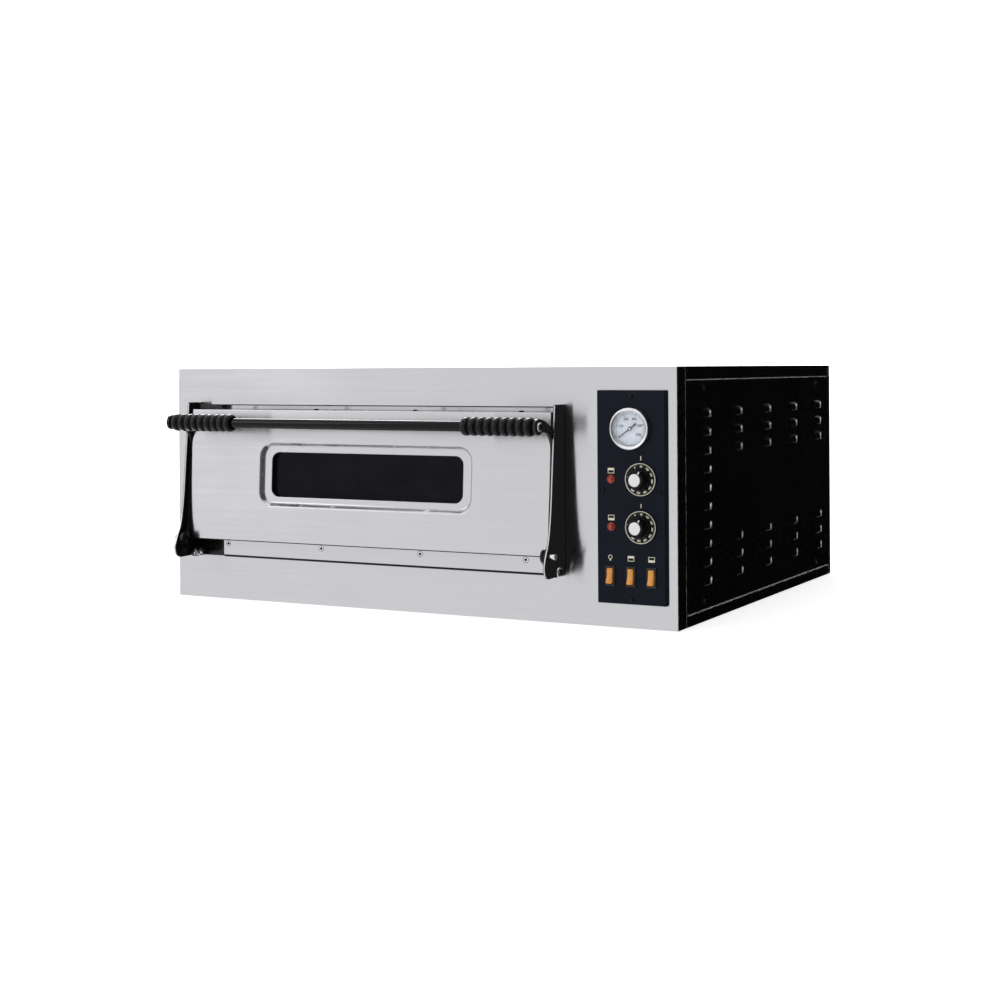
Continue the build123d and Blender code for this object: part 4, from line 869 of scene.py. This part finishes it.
def add_knob(node, body):
    centre = middle(node)
    seat = Vector((centre.x, PANEL_Y - KNOB_GAP, centre.z))
    knob = bmesh.new()
    lathe(knob, KNOB_BODY, seat, OUTWARD, KNOB_SIDES)
    lathe(knob, KNOB_CAP, seat, OUTWARD, ROUND_SIDES, 1)
    lathe(knob, SKIRT_RING, seat, OUTWARD, SKIRT_SIDES, 2)
    skirt = seat + OUTWARD * TICKS_RISE * MM
    for step in range(KNOB_TICKS):
        angle = math.radians(FIRST_TICK - step * TICK_TURN)
        numbered = step % TICKS_PER_NUMBER == 0
        length, width = KNOB_MAJOR_TICK if numbered else KNOB_MINOR_TICK
        tick = turned_outline(bar_outline(length, width, KNOB_TICK_R - length / 2), angle)
        flat_figure(knob, tick, skirt, KNOB_PRINT, 2)
        if numbered:
            text = str(step // TICKS_PER_NUMBER * HEAT_PER_NUMBER)
            at = round_face(seat, angle, KNOB_NUMBER_R, NUMBERS_RISE)
            add_number(knob, text, KNOB_NUMBER_H, at, angle - math.radians(90), 3)
    flat_figure(knob, turned_outline(POINTER, POINTER_TURN), seat + OUTWARD * CROWN_RISE * MM, 0.5, 3)
    add_piece(node + "_detailed", knob, ["knob_plastic", "turned_cap", "cream_ink", "white_ink"],
              body, [node], 40)


add_knob("knob_upper", "upper_knob")
add_knob("knob_lower", "lower_knob")


# ------------------------------------------------------------------ lamps and rockers

LAMP_X = middle("indicator_lamps").x
KNOB_X = middle("knob_upper").x
KNOB_ZS = [middle("knob_upper").z, middle("knob_lower").z]
LAMP_DROP = 0.5 * MM
LENS_R = 5.4
LENS_RISE = 4.3
LENS_FOOT = 1.2
LENS_STEPS = 8

lamps = bmesh.new()
collar = rounded_profile([(-25, 0), (-25, 4.9), (0, 4.9), (0, 6.9), (1.4, 6.8), (1.9, 6.0), (1.6, 5.3)], 0.5)
dome = [(LENS_FOOT, LENS_R)]
for step in range(1, LENS_STEPS + 1):
    turn = math.radians(90 * step / LENS_STEPS)
    dome.append((LENS_FOOT + LENS_RISE * math.sin(turn), LENS_R * math.cos(turn) if step < LENS_STEPS else 0))
for z in KNOB_ZS:
    place = Vector((LAMP_X, PANEL_Y, z - LAMP_DROP))
    for profile in (collar, dome):
        lathe(lamps, profile, place, OUTWARD, LAMP_SIDES, 1)
add_piece("signal_lamps", lamps, ["black_plastic", "red_lens"], "casing", ["indicator_lamps"])

ROCKER_W = 9.6
ROCKER_EDGE = 0.8
ROCKER_TILT = math.radians(13)
ROCKER_Z = middle("switch_bodies").z
PIVOT_Y = FRONT_Y - 10.5 * MM
# The rocker's section, (out, up) from its pivot, before it is tipped.
ROCKER_SIDE = (
    (-4, -8), (0, -12.2), (3.2, -12.3), (4.4, -11.3), (3.0, -5.5), (2.0, 0), (3.0, 5.5), (4.4, 11.3),
    (3.2, 12.3), (0, 12.2), (-4, 8),
)


def rocker_ring(shape, x, inset):
    """The rocker's section at one x, drawn in a little by inset."""
    ring = []
    for out, up in ROCKER_SIDE:
        out, up = out - inset * 0.8, up * (1 - inset * 0.05)
        y = PIVOT_Y - (out * math.cos(ROCKER_TILT) - up * math.sin(ROCKER_TILT)) * MM
        z = ROCKER_Z + (up * math.cos(ROCKER_TILT) + out * math.sin(ROCKER_TILT)) * MM
        ring.append(shape.verts.new((x, y, z)))
    return ring


for index, body in enumerate(("lamp_rocker", "top_heat_rocker", "bottom_heat_rocker"), start=1):
    node = f"rocker_{index}"
    centre_x = middle(node).x
    half = ROCKER_W / 2
    rocker = bmesh.new()
    edges = ((-half, ROCKER_EDGE), (-half + ROCKER_EDGE, 0), (half - ROCKER_EDGE, 0), (half, ROCKER_EDGE))
    tube_between(rocker, [rocker_ring(rocker, centre_x + x * MM, inset) for x, inset in edges])
    add_piece(node + "_cap", rocker, ["amber_rocker"], body, [node], 60)


# ------------------------------------------------------------------ printed marks

PRINT = 0.1
ICON_W = 11.0
ICON_BAND_H = 2.7
ICON_BAND_Z = 2.9
ICON_LINE = 0.9
ICON_SIDE_X = 5.0
# The outline reaches further on the side that is away from the band.
ICON_FAR = 4.25
ICON_NEAR = 1.6
BULB_STEPS = 20
BULB_OUT_R = 3.5
BULB_IN_R = 2.5
BULB_LIFT = 1.2
UPPER_LAMP_ICON_LIFT = 12.8 * MM
LOWER_LAMP_ICON_LIFT = 13.6 * MM
SWITCH_ICON_LIFT = 28.5 * MM
INDEX_LIFT = 33.4 * MM

marks = bmesh.new()


def oven_icon(x, z, heated_top):
    """A small outlined box with one filled band: top heat or bottom heat."""
    place = Vector((x, PANEL_Y, z))
    band_z = ICON_BAND_Z if heated_top else -ICON_BAND_Z
    flat_figure(marks, bar_outline(ICON_W, ICON_BAND_H, 0, band_z), place, PRINT)
    low_z, high_z = (-ICON_FAR, ICON_NEAR) if heated_top else (-ICON_NEAR, ICON_FAR)
    for x_side in (-ICON_SIDE_X, ICON_SIDE_X):
        upright = bar_outline(ICON_LINE, high_z - low_z, x_side, (low_z + high_z) / 2)
        flat_figure(marks, upright, place, PRINT)
    for line_z in (low_z + ICON_LINE / 2, high_z - ICON_LINE / 2):
        flat_figure(marks, bar_outline(2 * ICON_SIDE_X, ICON_LINE, 0, line_z), place, PRINT)


def bulb_icon(x, z):
    """A small ring over a tapered cap."""
    place = Vector((x, PANEL_Y, z))
    for step in range(BULB_STEPS):
        a, b = math.tau * step / BULB_STEPS, math.tau * (step + 1) / BULB_STEPS
        corners = ((BULB_IN_R, a), (BULB_IN_R, b), (BULB_OUT_R, b), (BULB_OUT_R, a))
        flat_figure(marks, [(r * math.cos(t), BULB_LIFT + r * math.sin(t)) for r, t in corners], place, PRINT)
    flat_figure(marks, [(-1.5, -2.2), (1.5, -2.2), (0.9, -4.6), (-0.9, -4.6)], place, PRINT)


SWITCH_XS = [middle(f"rocker_{index}").x for index in (1, 2, 3)]
ICON_Z = ROCKER_Z + SWITCH_ICON_LIFT
oven_icon(LAMP_X, KNOB_ZS[0] + UPPER_LAMP_ICON_LIFT, True)
oven_icon(LAMP_X, KNOB_ZS[1] + LOWER_LAMP_ICON_LIFT, False)
oven_icon(SWITCH_XS[1], ICON_Z, True)
oven_icon(SWITCH_XS[2], ICON_Z, False)
bulb_icon(SWITCH_XS[0], ICON_Z)
for z in KNOB_ZS:
    flat_figure(marks, bar_outline(1.3, 6.5), Vector((KNOB_X, PANEL_Y, z + INDEX_LIFT)), PRINT)
add_piece("panel_marks", marks, ["cream_ink"], "casing")


# ------------------------------------------------------------------ handle bar and grips

ROD_LO, ROD_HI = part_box("handle_rod")
ROD = (ROD_LO + ROD_HI) / 2
ROD_R = (ROD_HI.z - ROD_LO.z) / 2 / MM
ROD_L = (ROD_HI.x - ROD_LO.x) / MM
ROD_BORE_R = 6.9
ROD_CHAMFER = 0.6

rod = bmesh.new()
lathe(rod, [
    (0, ROD_BORE_R), (0, ROD_R - ROD_CHAMFER), (ROD_CHAMFER, ROD_R), (ROD_L - ROD_CHAMFER, ROD_R),
    (ROD_L, ROD_R - ROD_CHAMFER), (ROD_L, ROD_BORE_R),
], Vector((ROD_LO.x, ROD.y, ROD.z)), RIGHT, ROUND_SIDES)
add_piece("handle_bar", rod, ["rod_black"], "door", ["handle_rod"])

RIB_R = 15.4
GROOVE_R = 12.9
RIBS = 9
RIB_STEPS = 10
RIB_CURVE = 0.62
GROOVE_W = 0.5
GRIP_BORE_R = ROD_R + 0.05


def grip_profile(length):
    """Ribs side by side, each a flattened half wave over the groove's radius."""
    pitch = length / RIBS
    foot = GROOVE_R - 0.5
    profile = [(0, GRIP_BORE_R), (0, GROOVE_R - 0.6)]
    for rib in range(RIBS):
        for step in range(RIB_STEPS + 1):
            t = step / RIB_STEPS
            swell = math.sin(math.pi * t) ** RIB_CURVE
            along = rib * pitch + GROOVE_W / 2 + (pitch - GROOVE_W) * t
            profile.append((along, foot + (RIB_R - foot) * swell))
    return profile + [(length, GROOVE_R - 0.6), (length, GRIP_BORE_R)]


for node in ("handle_grip_left", "handle_grip_right"):
    low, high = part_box(node)
    grip = bmesh.new()
    lathe(grip, grip_profile((high.x - low.x) / MM), Vector((low.x, ROD.y, ROD.z)), RIGHT, BOLT_SIDES)
    add_piece(node + "_ribbed", grip, ["grip_rubber"], "door", [node], 60)


# ------------------------------------------------------------------ bright strips on the cheeks' front edges: painted highlights

# The front edge's line, (out, up) from the fascia and the base.
CHEEK_FRONT = (
    (32, 351), (37.5, 290), (41.5, 250), (46, 199), (51, 162), (58, 133), (67, 114), (72.5, 98), (70, 84),
    (61, 78),
)
RIBBON_W = 2.4
RIBBON_T = 0.35
# The ribbon's section: shares of its width across the cheek and of its thickness off the edge.
RIBBON_SECTION = ((-0.5, -0.3), (-0.42, 1.0), (0.42, 1.0), (0.5, -0.3))


def edge_ribbon(x):
    """A thin bright strip that follows a cheek's front edge: a painted highlight."""
    run = smooth_run(CHEEK_FRONT)
    ribbon = bmesh.new()
    rings = []
    for i, (out, up) in enumerate(run):
        before, after = run[max(i - 1, 0)], run[min(i + 1, len(run) - 1)]
        tangent = Vector((after[0] - before[0], after[1] - before[1])).normalized()
        rings.append([
            ribbon.verts.new((
                x + across * RIBBON_W * MM, FRONT_Y - (out - tangent.y * lift * RIBBON_T) * MM,
                (up + tangent.x * lift * RIBBON_T) * MM,
            ))
            for across, lift in RIBBON_SECTION
        ])
    tube_between(ribbon, rings)
    return ribbon


# Each cheek gets a bright strip on its front edge: painted highlight.
for place in ("left", "right"):
    ribbon = edge_ribbon(middle("door_cheek_" + place).x)
    add_piece("cheek_edge_highlight_" + place, ribbon, ["painted_highlight_edge"], "door", (), 50)


# ------------------------------------------------------------------ bolts on the cheeks

def side_bolts(name, node, black_profile, bright_profile):
    """One bolt at each side, given as two profiles from the node's outer end."""
    low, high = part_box(node)
    centre = (low + high) / 2
    bolts = bmesh.new()
    for side, x in ((-1, low.x), (1, high.x)):
        lathe(bolts, black_profile, Vector((x, centre.y, centre.z)), RIGHT * side, BOLT_SIDES)
        lathe(bolts, bright_profile, Vector((x, centre.y, centre.z)), RIGHT * side, BOLT_SIDES, 1)
    add_piece(name, bolts, ["black_bolt", "bright_bolt"], "door", [node])


side_bolts("rod_cap_bolts", "rod_end_bolts", [
    (-0.2, 5.2), (0, 4.2), (0, 3.0, hex_form), (-2.4, 3.0, hex_form), (-2.6, 0),
], [
    (-30.5, 0), (-30.5, 4), (-4.5, 4), (-4.5, 7.4), (-3.2, 7.5), (-1.2, 6.7), (-0.2, 5.2),
])
side_bolts("hinge_pivot_bolts", "pivot_bolts", [
    (-0.2, 5.4), (0, 4.4), (0, 3.2, hex_form), (-2.4, 3.2, hex_form), (-2.6, 0),
], [
    (-31.5, 0), (-31.5, 3.6), (-30.7, 4.4), (-26.5, 4.4), (-26.5, 6.0, hex_form), (-25.9, 7.0, hex_form),
    (-19.9, 7.0, hex_form), (-19.5, 6.4), (-19.5, 5.4), (-17.5, 5.4), (-17.5, 7.6), (-17.3, 8), (-15.5, 8),
    (-15.5, 5), (-4.5, 5), (-4.5, 8), (-3.2, 7.9), (-1.2, 6.9), (-0.2, 5.4),
])
# An arm pin's inner cap sits on the inside of the arm.
CAP_IN = (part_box("arm_bolts")[1].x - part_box("handle_arm_right")[0].x) / MM
side_bolts("arm_pins", "arm_bolts", [
    (-CAP_IN - 3.5, 0), (-CAP_IN - 3.4, 2.5), (-CAP_IN - 3.0, 4.2), (-CAP_IN - 1.2, 7.2), (-CAP_IN, 7.9),
    (-CAP_IN, 5),
], [
    (-CAP_IN, 5), (-1.4, 5), (-0.5, 4.7), (-0.1, 4.1), (0, 3.2), (0, 0),
])


# ------------------------------------------------------------------ camera, light and floor

CAMERA_AT = Vector((1.4499, -2.8195, 0.4136))
CAMERA_TURN = math.radians(27.82)
CAMERA_ROLL = math.radians(-0.32)
CAMERA_LENS = 59.80
CAMERA_SHIFT = -0.1333

scene = bpy.context.scene
camera_data = bpy.data.cameras.new("camera")
camera_data.sensor_width = 36.0
camera_data.lens = CAMERA_LENS
camera_data.shift_y = CAMERA_SHIFT
camera = bpy.data.objects.new("camera", camera_data)
scene.collection.objects.link(camera)
camera.matrix_world = (
    Matrix.Translation(CAMERA_AT) @ Matrix.Rotation(CAMERA_TURN, 4, "Z")
    @ Matrix.Rotation(math.radians(90), 4, "X") @ Matrix.Rotation(CAMERA_ROLL, 4, "Z")
)
scene.camera = camera
scene.view_settings.view_transform = "Standard"
scene.view_settings.look = "None"

# The studio is bright at the left and overhead, dark at the right, and white to the camera. Each patch is
# a strength and its soft edges: an axis of the direction, where the edge starts and ends along it, and the
# share of the strength before and after it. The brightest patch counts.
LEFT_WALL = (1.0, ("X", 0.0, 0.14, 1.0, 0.004))
CEILING = (0.95, ("Z", 0.4, 0.8, 0.0, 1.0), ("X", 0.1, 0.5, 1.0, 0.1))
FRONT_RIGHT = (0.16, ("Y", -0.55, 0.0, 1.0, 0.0))
BACK_WALL = (4.0, ("X", -0.02, 0.08, 1.0, 0.0), ("Y", 0.1, 0.6, 0.0, 1.0), ("Z", 0.1, 0.26, 1.0, 0.1))
HIGH_PANEL = (0.9, ("X", 0.186, 0.198, 1.0, 0.0), ("Z", 0.16, 0.19, 0.0, 1.0), ("Y", 0.3, 0.6, 0.0, 1.0))
LAMP_BAND = (24.0, ("Z", 0.54, 0.6, 0.0, 1.0), ("Z", 0.72, 0.78, 1.0, 0.0), ("X", -0.3, -0.2, 1.0, 0.0),
             ("Y", 0.4, 0.5, 0.0, 1.0))
CAMERA_WHITE = 1.05

world = bpy.data.worlds.new("studio")
scene.world = world
world.use_nodes = True
tree = world.node_tree
background = tree.nodes["Background"]
background.inputs["Color"].default_value = (1, 1, 1, 1)
direction = tree.nodes.new("ShaderNodeSeparateXYZ")
tree.links.new(tree.nodes.new("ShaderNodeTexCoord").outputs["Generated"], direction.inputs[0])


def soft_edge(axis, start, end, before, after):
    node = tree.nodes.new("ShaderNodeMapRange")
    node.interpolation_type = "SMOOTHSTEP"
    for key, setting in (("From Min", start), ("From Max", end), ("To Min", before), ("To Max", after)):
        node.inputs[key].default_value = setting
    tree.links.new(direction.outputs[axis], node.inputs["Value"])
    return node.outputs["Result"]


def world_math(operation, first, second):
    node = tree.nodes.new("ShaderNodeMath")
    node.operation = operation
    for index, value in enumerate((first, second)):
        if isinstance(value, bpy.types.NodeSocket):
            tree.links.new(value, node.inputs[index])
        else:
            node.inputs[index].default_value = value
    return node.outputs[0]


lit = 0.0
for strength, *edges in (LEFT_WALL, CEILING, FRONT_RIGHT, BACK_WALL, HIGH_PANEL, LAMP_BAND):
    patch = strength
    for edge in edges:
        patch = world_math("MULTIPLY", patch, soft_edge(*edge))
    lit = world_math("MAXIMUM", lit, patch)
seen = tree.nodes.new("ShaderNodeLightPath").outputs["Is Camera Ray"]
lit = world_math("MAXIMUM", lit, world_math("MULTIPLY", seen, CAMERA_WHITE))
tree.links.new(lit, background.inputs["Strength"])


def softbox(name, place, target, width, height, power):
    data = bpy.data.lights.new(name, "AREA")
    data.shape = "RECTANGLE"
    data.size = width
    data.size_y = height
    data.energy = power
    lamp = bpy.data.objects.new(name, data)
    scene.collection.objects.link(lamp)
    lamp.location = place
    lamp.rotation_mode = "QUATERNION"
    lamp.rotation_quaternion = (Vector(target) - Vector(place)).to_track_quat("-Z", "Y")


softbox("overhead", (-0.4, -0.9, 2.4), (0, -0.2, 0.3), width=2.4, height=0.16, power=3)
softbox("front_left", (-2.4, -2.6, 1.7), (0, 0, 0.2), width=1.4, height=1.4, power=10)

FLOOR_R = 60.0
FLOOR_GLOW = 0.72
FLOOR_DROP = 0.5 * MM

floor_shape = bmesh.new()
bmesh.ops.create_circle(floor_shape, cap_ends=True, radius=FLOOR_R, segments=96)
floor_mesh = bpy.data.meshes.new("floor")
floor_shape.to_mesh(floor_mesh)
floor_shape.free()
floor_paint = Shader("floor_paint", (0.85, 0.85, 0.85), 0.9, Specular_IOR_Level=0.0)
floor_paint.bsdf.inputs["Emission Color"].default_value = (1, 1, 1, 1)
floor_paint.bsdf.inputs["Emission Strength"].default_value = FLOOR_GLOW
floor_mesh.materials.append(floor_paint.material)
floor = bpy.data.objects.new("floor", floor_mesh)
scene.collection.objects.link(floor)
floor.location.z = -FLOOR_DROP
floor.visible_glossy = False
